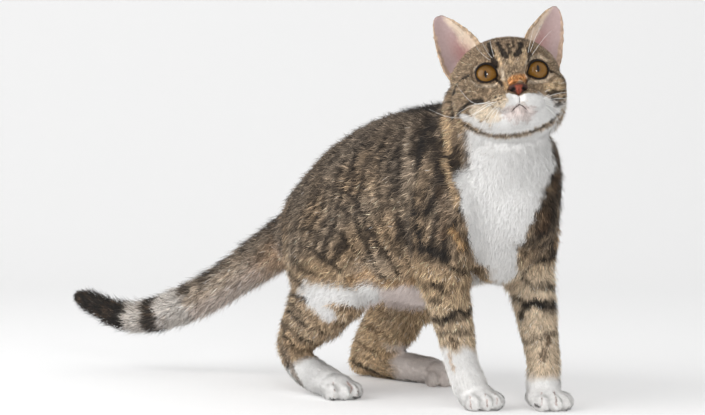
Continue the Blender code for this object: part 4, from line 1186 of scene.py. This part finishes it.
paintMesh(skin.data, "coat", skinColours)
skin.data.materials.append(coatMaterial("skinCoat", 0.85, 0.5))

# ---- coat: closed three-sided tufts rooted in the skin, bent once along their length or, on the head,
# straight
coat = {
    "tufts": 196000,
    "evenness": 0.75,
    "headExtra": 2.0,
    "lift": (1.35, 0.72),
    "seed": 17,
    "perPiece": 195000,  # triangles
    "patch": 0.003,
    "guard": 0.24,  # share of longer, thinner hairs that stand out of the coat
    "swing": (0.14, 0.22),  # turn aside in whole locks and hair by hair
    "lengths": (0.72, 1.18),
    "lifts": (0.65, 1.25),
    "widths": (0.75, 1.20),
    "crimp": (0.07, 0.08),  # of all hair, and more where the coat is deep
    "shading": (0.42, 0.38),  # spread of the tufts' brightness, and how much less where it is pale
    "ticking": (0.60, 0.57),  # and that of their tips
}


def tuftMask(local, normals):
    # Bare places: the eyes' openings, the nose leather and the inside of the ears
    mask = np.ones(len(local))
    for side in (1, -1):
        near, spot, beyond = lidGap(outerPoints, side)
        opening, reach = eye["bare"]
        bare = (beyond < opening) & (fromCentre(spot, 0.0) < eye["radius"] + reach)
        mask[np.flatnonzero(near)[bare]] = 0.0
    leather = fromCentre(local, (0.0, -0.0505, -0.0148), (0.0084, 0.0070, 0.0050))
    mask[leather < 1.0] = 0.0
    field = earField(local, normals @ np.array(headPlace)[:3, :3])
    bare = smoothstep(0.22, 0.42, field[1]) * (insideEar(*field) > 0.35)
    return mask * (1 - bare)


rng = np.random.default_rng(coat["seed"])
outerLocal = toHead(outerPoints)
mask = tuftMask(outerLocal, outerNormals)
density = mask / (tuftLength * tuftWidth) ** coat["evenness"] * (1 + coat["headExtra"] * headShare)
corners = outerPoints[triangles]
area = np.linalg.norm(np.cross(corners[:, 1] - corners[:, 0], corners[:, 2] - corners[:, 0]), axis=1) / 2
share = area * density[triangles].mean(1)
order = np.lexsort((corners[:, :, 2].mean(1).round(2), corners[:, :, 1].mean(1).round(2)))
steps = np.cumsum(share[order])
picks = (np.arange(coat["tufts"]) + rng.random(coat["tufts"])) / coat["tufts"] * steps[-1]
face = order[np.minimum(np.searchsorted(steps, picks), len(order) - 1)]
mixA, mixB = rng.random((2, len(face)))
over = mixA + mixB > 1
mixA[over], mixB[over] = 1 - mixA[over], 1 - mixB[over]
mixes = np.stack([1 - mixA - mixB, mixA, mixB], 1)


def atRoots(values):
    found = values[triangles[face]]
    return (found * (mixes if found.ndim == 2 else mixes[:, :, None])).sum(1)


def unit(vectors):
    return vectors / np.maximum(np.linalg.norm(vectors, axis=1), 1e-9)[:, None]


root = atRoots(inner)
rootOuter = atRoots(outerPoints)
byEyes = smoothstep(0.024, 0.017, fromCentre(onOneSide(outerLocal), eye["at"]))[:, None]
rootNormal = unit(atRoots(outerNormals * (1 - byEyes) + innerNormals * byEyes))
rootFlow = atRoots(flow)
rootLocal = atRoots(outerLocal)
length, depth, width = atRoots(tuftLength), atRoots(coatDepth), atRoots(tuftWidth)
rootHead = atRoots(headShare)
rootEar = atRoots(earShare)

# Round the eyes the hair points away from them
for side in (1, -1):
    middle = np.array((eye["at"][0] * side, eye["at"][1] - 0.008, eye["at"][2]))
    away = rootLocal - middle
    near = smoothstep(0.019, 0.010, np.linalg.norm(away * (1.0, 0.6, 1.0), axis=1))
    away = unit(away) @ np.array(headPlace)[:3, :3].T
    rootFlow = rootFlow * (1 - near)[:, None] + away * near[:, None]
    length *= 1 - 0.45 * near
rootFlow -= (rootFlow * rootNormal).sum(1)[:, None] * rootNormal
rootFlow = unit(rootFlow)
mouthApart = np.full(len(root), np.inf)
near = np.flatnonzero(rootHead > 0.3)
for path in mouthPaths:
    mouthApart[near] = np.minimum(mouthApart[near], besidePath(root[near], path))
length = np.minimum(length, np.maximum(mouthApart - 0.0008, 0.0) * 0.9)
kept = length > 0.0006
root, rootOuter, rootNormal, rootFlow, rootLocal, length, depth, width, rootHead, rootEar = (
    values[kept]
    for values in (root, rootOuter, rootNormal, rootFlow, rootLocal, length, depth, width, rootHead, rootEar)
)
count = len(root)
aside = np.cross(rootNormal, rootFlow)
furry = smoothstep(0.0014, 0.0030, depth) * (1 - rootHead)
lockSwing, hairSwing = coat["swing"]
swing = lockSwing * waves(root, 0.016, 31)
swing += rng.normal(0, hairSwing, count) * (1 - 0.4 * rootHead + 0.5 * furry)
heading = rootFlow * np.cos(swing)[:, None] + aside * np.sin(swing)[:, None]
aside = np.cross(rootNormal, heading)
ratio = np.clip(depth / length, 0.10, 0.55)
longer = rng.uniform(*coat["lengths"], count)
lift = rng.uniform(*coat["lifts"], count) * (1 + 0.18 * waves(root, 0.012, 32))
# The hair stands up on the nape and on the ruff behind the ears, and is long before the ears
nape = np.exp(-(fromCentre(root, (-0.004, 0.042, 0.252), (0.030, 0.042, 0.020)) ** 2))
leftLocal = onOneSide(rootLocal)
earTip = smoothstep(0.046, 0.060, rootLocal[:, 2]) * smoothstep(0.0, 0.4, rootHead + rootEar)
ruff = np.exp(-(fromCentre(leftLocal, (0.047, 0.024, 0.000), (0.014, 0.018, 0.022)) ** 2))
temple = alongSegment(leftLocal, (0.018, 0.000, 0.031), (0.044, 0.004, 0.008))[0]
temple = smoothstep(0.010, 0.004, temple) * (1 - rootEar)
lift *= 1 + 1.0 * nape + 0.4 * ruff - 0.25 * rootHead - 0.50 * rootEar
longer *= 1 + 0.3 * nape + 0.15 * ruff + 0.5 * temple
longer *= 1 - 0.68 * earTip
guard = (rng.random(count) < coat["guard"]) * furry
lift *= 1 + 0.95 * guard
longer *= 1 + 0.12 * guard
width = width * (1 - 0.32 * guard)
rise = np.clip(ratio * coat["lift"][0] * lift, 0.05, 0.80)
settle = np.clip(ratio * coat["lift"][1] * lift, -0.05, 0.60)
crimp = rng.normal(0, 1, count) * (coat["crimp"][0] + coat["crimp"][1] * furry)
reach = (length * longer)[:, None]


def raised(rise, sway):
    # Direction of a stretch of each tuft, raised off the skin and swayed aside
    return unit(heading * np.sqrt(1 - rise**2)[:, None] + rootNormal * rise[:, None] + aside * sway[:, None])


first, second = raised(rise, 2 * crimp), raised(settle, -2.4 * crimp)
middle = root + first * reach * 0.45
tip = middle + second * reach * 0.55
start = root - rootNormal * 0.0005
half = (width * rng.uniform(*coat["widths"], count) * 0.5)[:, None]
top = unit(np.cross(heading, aside))
top = np.where((top * rootNormal).sum(1)[:, None] < 0, -top, top)
tuftPoints = np.stack(
    [
        start + aside * half, start - aside * half, start + top * half * 0.7,
        middle + aside * half * 0.85, middle - aside * half * 0.85, middle + top * half * 0.62,
        tip,
    ],
    1,
)
tuftPoints[:, :, 2] = np.maximum(tuftPoints[:, :, 2], 0.00005)
radial = np.stack([aside, -aside, top, aside, -aside, top, top], 1)
# Tufts are shaded mostly as the skin below them, and those of the ears as they lie
tuftNormals = radial * (0.28 + 0.6 * rootEar)[:, None, None]
tuftNormals += rootNormal[:, None, :] * (1 - 0.85 * rootEar)[:, None, None]
tuftNormals /= np.linalg.norm(tuftNormals, axis=2)[:, :, None]
tuftFaces = (
    (0, 1, 2), (0, 2, 5), (0, 5, 3), (2, 1, 4), (2, 4, 5),
    (1, 0, 3), (1, 3, 4), (3, 5, 6), (5, 4, 6), (4, 3, 6),
)
# Each tuft varies in shade, darker at the root as painted shade deep in the coat, and the tips are ticked
# light or dark
middleColour = coatColours(rootOuter + heading * reach * 0.40, rootNormal)
tipColour = coatColours(rootOuter + heading * reach * 0.82, rootNormal)
pale = smoothstep(0.35, 0.70, middleColour.mean(1))
vary = np.exp(rng.normal(0, 1, count) * (coat["shading"][0] - coat["shading"][1] * pale))
ticked = np.exp(rng.normal(0, 1, count) * (coat["ticking"][0] - coat["ticking"][1] * pale))
# Painted shade towards each tuft's root, less on pale tufts
foot = 0.62 + 0.30 * pale
tuftShades = np.stack(
    [middleColour * (vary * foot)[:, None]] * 3
    + [middleColour * (vary * (0.5 + 0.5 * foot))[:, None]] * 2
    + [middleColour * vary[:, None], tipColour * (vary * ticked)[:, None]],
    1,
)
tuftShades = np.clip(tuftShades, 0.004, 0.95)

# Each piece of the coat is unrolled round the bones below it, and each tuft is one small patch of that
unrolled = {
    "Face": ((fromHead((0, -0.048, -0.020)), fromHead((0, 0.050, 0.010))),),
    "Ears": (
        (fromHead((0.036, 0.012, 0.020)), fromHead((0.048, 0.010, 0.072))),
        (fromHead((-0.036, 0.012, 0.020)), fromHead((-0.048, 0.010, 0.072))),
    ),
    "Neck": (((-0.006, 0.020, 0.262), (0.002, 0.020, 0.120)),),
    "Torso": (((0.0, 0.040, 0.178), (-0.002, 0.290, 0.150)),),
    "Tail": tuple((tailPath[a, :3], tailPath[b, :3]) for a, b in ((0, 9), (9, 18), (18, 27), (27, 36))),
    "Forelegs": (
        ((-0.046, 0.042, 0.180), (-0.017, 0.030, 0.0)), ((0.044, 0.040, 0.180), (0.031, -0.006, 0.0)),
    ),
    "Hindlegs": (
        ((-0.040, 0.232, 0.150), (-0.060, 0.165, 0.090)), ((-0.060, 0.165, 0.090), (-0.061, 0.248, 0.044)),
        ((-0.061, 0.248, 0.044), (-0.066, 0.158, 0.008)), ((0.038, 0.242, 0.150), (0.067, 0.218, 0.076)),
        ((0.067, 0.218, 0.076), (0.072, 0.314, 0.024)), ((0.072, 0.318, 0.016), (0.079, 0.192, 0.008)),
    ),
}
reaches = {
    "Face": 0.048, "Ears": 0.020, "Neck": 0.045, "Torso": 0.070, "Tail": 0.024,
    "Forelegs": 0.026, "Hindlegs": 0.034,
}
bestApart = np.full(count, np.inf)
piece = np.zeros(count, int)
chart = np.zeros((count, 2))
names = list(unrolled)
for index, name in enumerate(names):
    tubes = unrolled[name]
    for strip, (a, b) in enumerate(tubes):
        a, b = np.asarray(a, float), np.asarray(b, float)
        apart, t = alongSegment(root, a, b)
        apart = apart / reaches[name]
        nearer = apart < bestApart
        axis = (b - a) / np.linalg.norm(b - a)
        sideways = np.cross(axis, (0.0, 0.0, 1.0) if abs(axis[2]) < 0.8 else (0.0, 1.0, 0.0))
        sideways /= np.linalg.norm(sideways)
        offset = root - a
        beyond = (offset @ axis) / np.linalg.norm(b - a)
        turn = (np.arctan2(offset @ np.cross(axis, sideways), offset @ sideways) / (2 * math.pi)) % 1.0
        bestApart[nearer] = apart[nearer]
        piece[nearer] = index
        chart[nearer, 0] = (strip + 0.01 + 0.98 * turn[nearer]) / len(tubes)
        chart[nearer, 1] = np.clip((beyond[nearer] + 0.45) / 1.9, 0.0, 1.0)
coatPieces = []
corner = np.array(((0.0, 0.0), (1.0, 0.0), (0.5, 0.0), (0.05, 0.5), (0.95, 0.5), (0.5, 0.5), (0.5, 1.0)))
spikeFaces = ((0, 1, 2), (0, 2, 3), (2, 1, 3), (1, 0, 3))
triangleTotal = 0
for index, name in enumerate(names):
    members = np.flatnonzero(piece == index)
    straight = name in ("Face", "Ears")
    corners = (0, 1, 2, 6) if straight else range(7)
    pattern = np.array(spikeFaces if straight else tuftFaces)
    parts = max(1, math.ceil(len(members) * len(pattern) / coat["perPiece"]))
    members = members[np.argsort(root[members, 1 if name in ("Torso", "Tail") else 0])]
    for part, chosen in enumerate(np.array_split(members, parts)):
        uv = chart[chosen].copy()
        low, high = uv.min(0), uv.max(0)
        uv = 0.002 + 0.993 * (uv - low) / np.maximum(high - low, 1e-6)
        pick = np.ix_(chosen, corners)
        faces = (pattern[None] + np.arange(len(chosen))[:, None, None] * len(corners)).reshape(-1, 3)
        label = "coat" + name + (str(part + 1) if parts > 1 else "")
        made = meshOf(label, tuftPoints[pick].reshape(-1, 3), faces, tuftNormals[pick].reshape(-1, 3))
        paintMesh(made.data, "coat", tuftShades[pick].reshape(-1, 3))
        spots = (uv[:, None, :] + (corner[None, list(corners)] - 0.5) * coat["patch"]).reshape(-1, 2)
        triangleTotal += len(faces)
        layer = made.data.uv_layers.new(name="OFBake")
        layer.data.foreach_set("uv", np.clip(spots[faces.ravel()], 0.0, 1.0).astype(np.float32).ravel())
        coatPieces.append(made)
        print(label, len(chosen))
tuftMaterial = coatMaterial("coatHair", 0.72, 0.0)
for made in coatPieces:
    made.data.materials.append(tuftMaterial)
print("coat built", count, triangleTotal)

# ---- eyes
iris = {
    "reach": 0.0088,
    "pupil": (0.00110, 0.0031),
    "looks": {1: (538.0, 68.6), -1: (485.6, 74.2)},  # where the pupils show in the photograph
    "bulge": 0.0007,
    "sides": 96,
    "rings": 72,
}
eyeShades = {
    "amber": hue(110, 76, 28),
    "gold": hue(140, 100, 42),
    "bronze": hue(58, 38, 16),
    "limbal": hue(36, 24, 14),
    "pupil": hue(8, 7, 7),
    "white": hue(120, 104, 92),
}


def gazeOf(side):
    # Direction from the eye's centre to where its pupil shows
    centre = np.array(headPlace @ Vector((eye["at"][0] * side, *eye["at"][1:])))
    start, ray = pixelRay(*iris["looks"][side])
    toward = (start - centre) @ ray
    gap = (start - centre) @ (start - centre) - eye["radius"] ** 2
    travel = -toward - math.sqrt(max(toward**2 - gap, 0.0))
    return centre, (start + ray * travel - centre) / eye["radius"]


eyePieces = []
for side, label in ((1, "eyeballLeft"), (-1, "eyeballRight")):
    centre, gaze = gazeOf(side)
    level = np.array(headPlace)[:3, 2]
    level = level - (level @ gaze) * gaze
    level /= np.linalg.norm(level)
    across = np.cross(level, gaze)
    tilt = np.concatenate([np.linspace(0, 1, iris["rings"]) * 1.15, np.linspace(1.2, math.pi, 14)])
    turn = np.arange(iris["sides"]) * 2 * math.pi / iris["sides"]
    tilts, turns = np.meshgrid(tilt[1:-1], turn, indexing="ij")
    direction = (
        np.cos(tilts)[..., None] * gaze
        + np.sin(tilts)[..., None] * (np.cos(turns)[..., None] * across + np.sin(turns)[..., None] * level)
    )
    radius = eye["radius"] + iris["bulge"] * smoothstep(0.85, 0.25, tilts)
    rows = (centre + direction * radius[..., None]).reshape(-1, 3)
    points = np.vstack([rows, centre + gaze * (eye["radius"] + iris["bulge"]), centre - gaze * eye["radius"]])
    n = iris["sides"]
    faces = []
    for r in range(len(tilt) - 3):
        for c in range(n):
            d = (c + 1) % n
            faces.append((r * n + c, (r + 1) * n + c, (r + 1) * n + d))
            faces.append((r * n + c, (r + 1) * n + d, r * n + d))
    last = (len(tilt) - 3) * n
    for c in range(n):
        d = (c + 1) % n
        faces.append((len(rows), c, d))
        faces.append((last + c, len(rows) + 1, last + d))
    flat = points - centre
    u, v = flat @ across, flat @ level
    out = np.hypot(u, v) / iris["reach"]
    front = flat @ gaze > 0
    angle = np.arctan2(v, u)
    fibre = 0.5 + 0.25 * np.sin(angle * 31 + 1.3 * side) + 0.25 * np.sin(angle * 53 + 2.1)
    colours = np.tile(eyeShades["amber"], (len(points), 1))
    colours = lay(colours, eyeShades["gold"], 0.65 * smoothstep(0.30, 0.62, out) * fibre)
    ends = 0.50 * smoothstep(0.42, 0.16, out) + 0.35 * smoothstep(0.70, 0.95, out)
    colours = lay(colours, eyeShades["bronze"], ends)
    # The iris darkens towards its top: painted shade of the upper lid
    colours = lay(colours, eyeShades["bronze"], 0.80 * smoothstep(0.15, 0.95, v / iris["reach"]))
    colours = lay(colours, eyeShades["limbal"], smoothstep(0.90, 1.02, out))
    slit = np.hypot(u / iris["pupil"][0], v / iris["pupil"][1])
    colours = lay(colours, eyeShades["pupil"], smoothstep(1.15, 0.85, slit))
    colours = lay(colours, eyeShades["white"], smoothstep(1.10, 1.25, out))
    colours[~front] = eyeShades["white"]
    made = meshOf(label, points, faces)
    paintMesh(made.data, "coat", colours)
    wet = {"Coat Weight": 0.65, "Coat Roughness": 0.02, "Specular IOR Level": 0.0}
    material, tree, shader = nodeMaterial(label + "Clear", 0.4, **wet)
    tree.links.new(paintNode(tree), shader.inputs["Base Color"])
    made.data.materials.append(material)
    eyePieces.append(made)


def tubeMesh(path, radii, closed=False, sides=8):
    # A round tube along a path, with a radius for each of its points
    path, radii = np.asarray(path, float), np.asarray(radii, float)
    along = np.roll(path, -1, 0) - np.roll(path, 1, 0) if closed else np.gradient(path, axis=0)
    along = unit(along)
    reference = unit(np.cross(along, np.array((0.31, 0.55, 0.77))))
    other = np.cross(along, reference)
    angles = np.arange(sides) * 2 * math.pi / sides
    rings = path[:, None] + radii[:, None, None] * (
        np.cos(angles)[None, :, None] * reference[:, None] + np.sin(angles)[None, :, None] * other[:, None]
    )
    points = rings.reshape(-1, 3)
    faces = []
    total = len(path)
    for r in range(total if closed else total - 1):
        s = (r + 1) % total
        for c in range(sides):
            d = (c + 1) % sides
            faces.append((r * sides + c, r * sides + d, s * sides + d))
            faces.append((r * sides + c, s * sides + d, s * sides + c))
    if not closed:
        points = np.vstack([points, path[0], path[-1]])
        for c in range(sides):
            d = (c + 1) % sides
            faces.append((len(points) - 2, d, c))
            faces.append((len(points) - 1, (total - 1) * sides + c, (total - 1) * sides + d))
    return points, np.array(faces)


def joined(name, parts, material):
    points, faces, offset = [], [], 0
    for spot, face in parts:
        points.append(spot)
        faces.append(np.asarray(face) + offset)
        offset += len(spot)
    made = meshOf(name, np.vstack(points), np.vstack(faces))
    made.data.materials.append(material)
    return made


# Dark rims of the lids, thicker above where the extra thickness partly stands for the upper lid's shade, and
# the dark inner corner
rimLook = {"Base Color": (*hue(24, 17, 14), 1.0), "Specular IOR Level": 0.25}
rimMaterial, _, _ = nodeMaterial("lidRim", 0.6, **rimLook)
rim = {"outward": 1.01, "above": 0.0010, "radius": 0.00040, "thicker": 0.00030}
rims = []
for side in (1, -1):
    wide, high = openingCurve(side, 96)
    wide, high = wide * rim["outward"], high * rim["outward"]
    ball = eye["radius"] + rim["above"]
    back = -np.sqrt(np.maximum(ball**2 - np.hypot(wide, high) ** 2, 0.0))
    local = np.stack([wide, back, high], 1)
    matrix = np.array(eyeFrame(side))
    path = local @ matrix[:3, :3].T + matrix[:3, 3]
    upper = smoothstep(-0.003, 0.005, high / rim["outward"])
    rims.append(tubeMesh(path, rim["radius"] + rim["thicker"] * upper, True))
lidRims = joined("lidRims", rims, rimMaterial)

# Nose leather: a rounded wedge with a middle groove and two comma-shaped nostrils
nose = {
    "at": (0.0004, -0.0490, -0.0158),
    "half": (0.0080, 0.0058, 0.0047),
    "nostril": (0.0042, -0.0004),
}
noseForm = bmesh.new()
bmesh.ops.create_uvsphere(noseForm, u_segments=96, v_segments=64, radius=1.0)
nosePiece = objectOf("noseLeather", noseForm)
spots = pointsOf(nosePiece.data).copy()
x, y, z = spots.T
lower = np.clip(-z, 0.0, 1.0)
x = x * (1 - 0.80 * lower**1.1) * (1 + 0.15 * np.clip(z, 0, 1))
spots = np.stack([x * nose["half"][0], y * nose["half"][1], z * nose["half"][2]], 1)
front = smoothstep(0.2, -0.3, y)
pits = np.zeros(len(spots))
for side in (1, -1):
    out, up = nose["nostril"]
    rise = spots[:, 2] - up
    hole = np.hypot((spots[:, 0] - side * out) / 0.0019, rise / 0.0014)
    droop = rise + 0.0006 + 0.25 * (np.abs(spots[:, 0]) - out)
    slit = np.hypot((spots[:, 0] - side * (out + 0.0022)) / 0.0026, droop / 0.0008)
    pits = np.maximum(pits, np.exp(-(hole**2)) + 0.6 * np.exp(-(slit**2)))
groove = np.exp(-((spots[:, 0] / 0.0005) ** 2)) * smoothstep(0.0008, -0.0020, spots[:, 2])
spots[:, 1] += front * (0.0030 * pits + 0.0007 * groove)
leatherShades = {
    "brick": hue(128, 58, 38),
    "edge": hue(46, 29, 25),
    # hole: painted shade inside the nostrils
    "hole": hue(16, 10, 8),
    "top": hue(78, 48, 38),
}
colours = np.tile(leatherShades["brick"], (len(spots), 1))
wing = smoothstep(0.0020, 0.0040, np.abs(spots[:, 0]) + 0.35 * np.clip(-spots[:, 2], 0, 1))
colours = lay(colours, leatherShades["edge"], 0.94 * wing)
colours = lay(colours, leatherShades["top"], smoothstep(0.0010, 0.0032, spots[:, 2]) * 0.90)
# Nostrils near black and the middle groove darker: painted shade inside them
colours = lay(colours, leatherShades["hole"], smoothstep(0.25, 0.75, pits))
colours = lay(colours, leatherShades["edge"], 0.55 * groove)
place = np.array(nose["at"])
setPoints(nosePiece.data, fromHead(spots + place))
paintMesh(nosePiece.data, "coat", colours)
nosePiece.data.shade_smooth()
noseMaterial, tree, shader = nodeMaterial("noseSkin", 0.48, **{"Specular IOR Level": 0.28})
tree.links.new(paintNode(tree), shader.inputs["Base Color"])
pebbles = tree.nodes.new("ShaderNodeTexVoronoi")
pebbles.inputs["Scale"].default_value = 1500.0
coordinates = tree.nodes.new("ShaderNodeTexCoord")
tree.links.new(coordinates.outputs["Object"], pebbles.inputs["Vector"])
relief = tree.nodes.new("ShaderNodeBump")
relief.inputs["Strength"].default_value = 0.35
relief.inputs["Distance"].default_value = 0.0002
tree.links.new(pebbles.outputs["Distance"], relief.inputs["Height"])
tree.links.new(relief.outputs["Normal"], shader.inputs["Normal"])
nosePiece.data.materials.append(noseMaterial)

# Line of the lips
lipMaterial, _, _ = nodeMaterial("lipLine", 0.5, **{"Base Color": (*hue(58, 40, 36), 1.0)})
lipRadii = {"philtrum": (0.00020, 0.00016), "lips": (0.00056, 0.00010)}
lips = []
for name in ("middle", "right", "left"):
    rays = [pixelRay(*spot) for spot in smoothRows(mouth[name], 5)]
    line = np.array([innerTree.ray_cast(Vector(start), Vector(ray))[0] for start, ray in rays])
    fade = np.linspace(0, 1, len(line))
    if name == "middle":
        radii = lipRadii["philtrum"][0] + lipRadii["philtrum"][1] * fade
    else:
        radii = lipRadii["lips"][0] * (1 - fade) ** 0.5 + lipRadii["lips"][1]
    lips.append(tubeMesh(calm(line, 8), radii))
lipLine = joined("lipLine", lips, lipMaterial)

# Whiskers: root and tip as they show in the photograph, how much farther the tip is than the root, and
# the bow upwards
whiskerMaterial, _, _ = nodeMaterial("whisker", 0.4, **{"Base Color": (*hue(240, 238, 234), 1.0)})
whiskers = (
    ((497, 106), (478, 133), -0.012, 0.1), ((499, 107), (483, 132), -0.016, 0.1),
    ((500, 108), (488, 134), -0.018, 0.06), ((494, 104), (462, 130), -0.006, 0.12),
    ((492, 103), (451, 119), 0.006, 0.12), ((490, 101), (456, 84), 0.012, -0.25),
    ((493, 102), (429, 109), 0.018, -0.18), ((496, 102), (468, 121), 0, 0.14),
    ((498, 109), (493, 130), -0.02, 0.05), ((545, 92), (569, 81), 0.01, 0.06),
    ((546, 96), (572, 88), 0.016, 0.04), ((547, 100), (576, 100), 0.012, 0.05),
    ((546, 104), (566, 117), -0.004, 0.06), ((545, 106), (560, 122), -0.008, 0.06),
    ((543, 99), (578, 94), 0.022, 0.08), ((530, 52), (543, 22), -0.002, 0.06),
    ((528, 53), (534, 27), 0.004, 0.05), ((532, 55), (552, 30), 0.006, 0.05),
    ((494, 57), (489, 36), 0, -0.06), ((492, 58), (480, 38), -0.004, -0.08),
    ((490, 60), (474, 44), -0.006, -0.08),
)
whiskerParts = []
for start, end, behind, bow in whiskers:
    base = onSkin((start,))[0]
    origin, ray = pixelRay(*end)
    far = np.linalg.norm(base - origin) + behind
    finish = origin + ray * far
    t = np.linspace(0, 1, 14)[:, None]
    arch = np.array((0, 0, 1.0)) * np.linalg.norm(finish - base) * bow
    path = base * (1 - t) + finish * t + arch * np.sin(t * math.pi)
    radii = (0.00009 if start[1] < 61 else 0.00014) * (1 - t[:, 0]) ** 0.7 + 0.00003
    whiskerParts.append(tubeMesh(path, radii, sides=6))
whiskerPiece = joined("whiskers", whiskerParts, whiskerMaterial)
print("eyes, nose, lips and whiskers built")

# ---- into the frame's place
visible = [skin, *coatPieces, *eyePieces, lidRims, nosePiece, lipLine, whiskerPiece]
for item in visible:
    item.location = toOrigin
bpy.context.view_layer.update()
for item in visible:
    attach(item, "root")
flesh = [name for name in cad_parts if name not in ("eye_left", "eye_right", "nose")]
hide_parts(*flesh)
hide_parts("eye_left")
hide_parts("eye_right")
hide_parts("nose")

# ---- floor, light and camera
place, ahead, right, up, focal = cameraFrame()
level = Vector((ahead[0], ahead[1], 0.0)).normalized()
across = Vector((level.y, -level.x, 0.0))
backdrop = {"near": -3.0, "far": 1.6, "bend": 1.4, "top": 4.0, "half": 7.0, "steps": 24}
profile = [(backdrop["near"], 0.0)]
for step in range(backdrop["steps"] + 1):
    turn = step / backdrop["steps"] * math.pi / 2
    run, rise = math.sin(turn) * backdrop["bend"], (1 - math.cos(turn)) * backdrop["bend"]
    profile.append((backdrop["far"] + run, rise))
profile.append((backdrop["far"] + backdrop["bend"], backdrop["top"]))
floorForm = bmesh.new()
lines = []
for run, rise in profile:
    spot = level * run + Vector((0, 0, rise))
    lines.append([floorForm.verts.new(spot + across * (backdrop["half"] * side)) for side in (-1, 1)])
for low, high in zip(lines, lines[1:]):
    floorForm.faces.new((low[0], low[1], high[1], high[0]))
floor = objectOf("floor", floorForm)
floor.data.shade_smooth()
paper = {
    "Base Color": (0.88, 0.88, 0.88, 1.0),
    "Specular IOR Level": 0.1,
    "Emission Color": (1.0, 1.0, 1.0, 1.0),
    "Emission Strength": 0.12,
}
floorMaterial, _, _ = nodeMaterial("paper", 0.95, **paper)
floor.data.materials.append(floorMaterial)

world = bpy.data.worlds.new("studio")
world.use_nodes = True
world.node_tree.nodes["Background"].inputs["Color"].default_value = (0.64, 0.64, 0.64, 1.0)
world.node_tree.nodes["Background"].inputs["Strength"].default_value = 1.0
bpy.context.scene.world = world
bpy.context.scene.view_settings.view_transform = "Standard"


def softLight(name, place, aim, size, power):
    lamp = bpy.data.lights.new(name, "AREA")
    lamp.shape = "DISK"
    lamp.size = size
    lamp.energy = power
    holder = bpy.data.objects.new(name, lamp)
    bpy.context.scene.collection.objects.link(holder)
    holder.location = place
    holder.rotation_euler = (Vector(aim) - Vector(place)).to_track_quat("-Z", "Y").to_euler()


lamps = (
    # name, place, aim, size, power
    ("key", (-0.45, -1.95, 1.45), (0.0, 0.0, 0.15), 2.4, 6.0),
    ("front", (-0.92, -1.66, 0.58), (0.0, 0.05, 0.17), 0.32, 6.5),
    ("fill", (-1.9, 0.2, 0.8), (0.0, 0.2, 0.10), 2.6, 38.0),
)
for lamp in lamps:
    softLight(*lamp)

lens = bpy.data.cameras.new("camera")
lens.sensor_width = 36.0
lens.lens = focal / view["width"] * lens.sensor_width
lens.clip_start, lens.clip_end = 0.05, 40.0
holder = bpy.data.objects.new("camera", lens)
bpy.context.scene.collection.objects.link(holder)
turn = Matrix((right, up, -ahead)).transposed().to_4x4()
holder.matrix_world = Matrix.Translation(Vector(place) + toOrigin) @ turn
bpy.context.scene.camera = holder

print("scene finished")
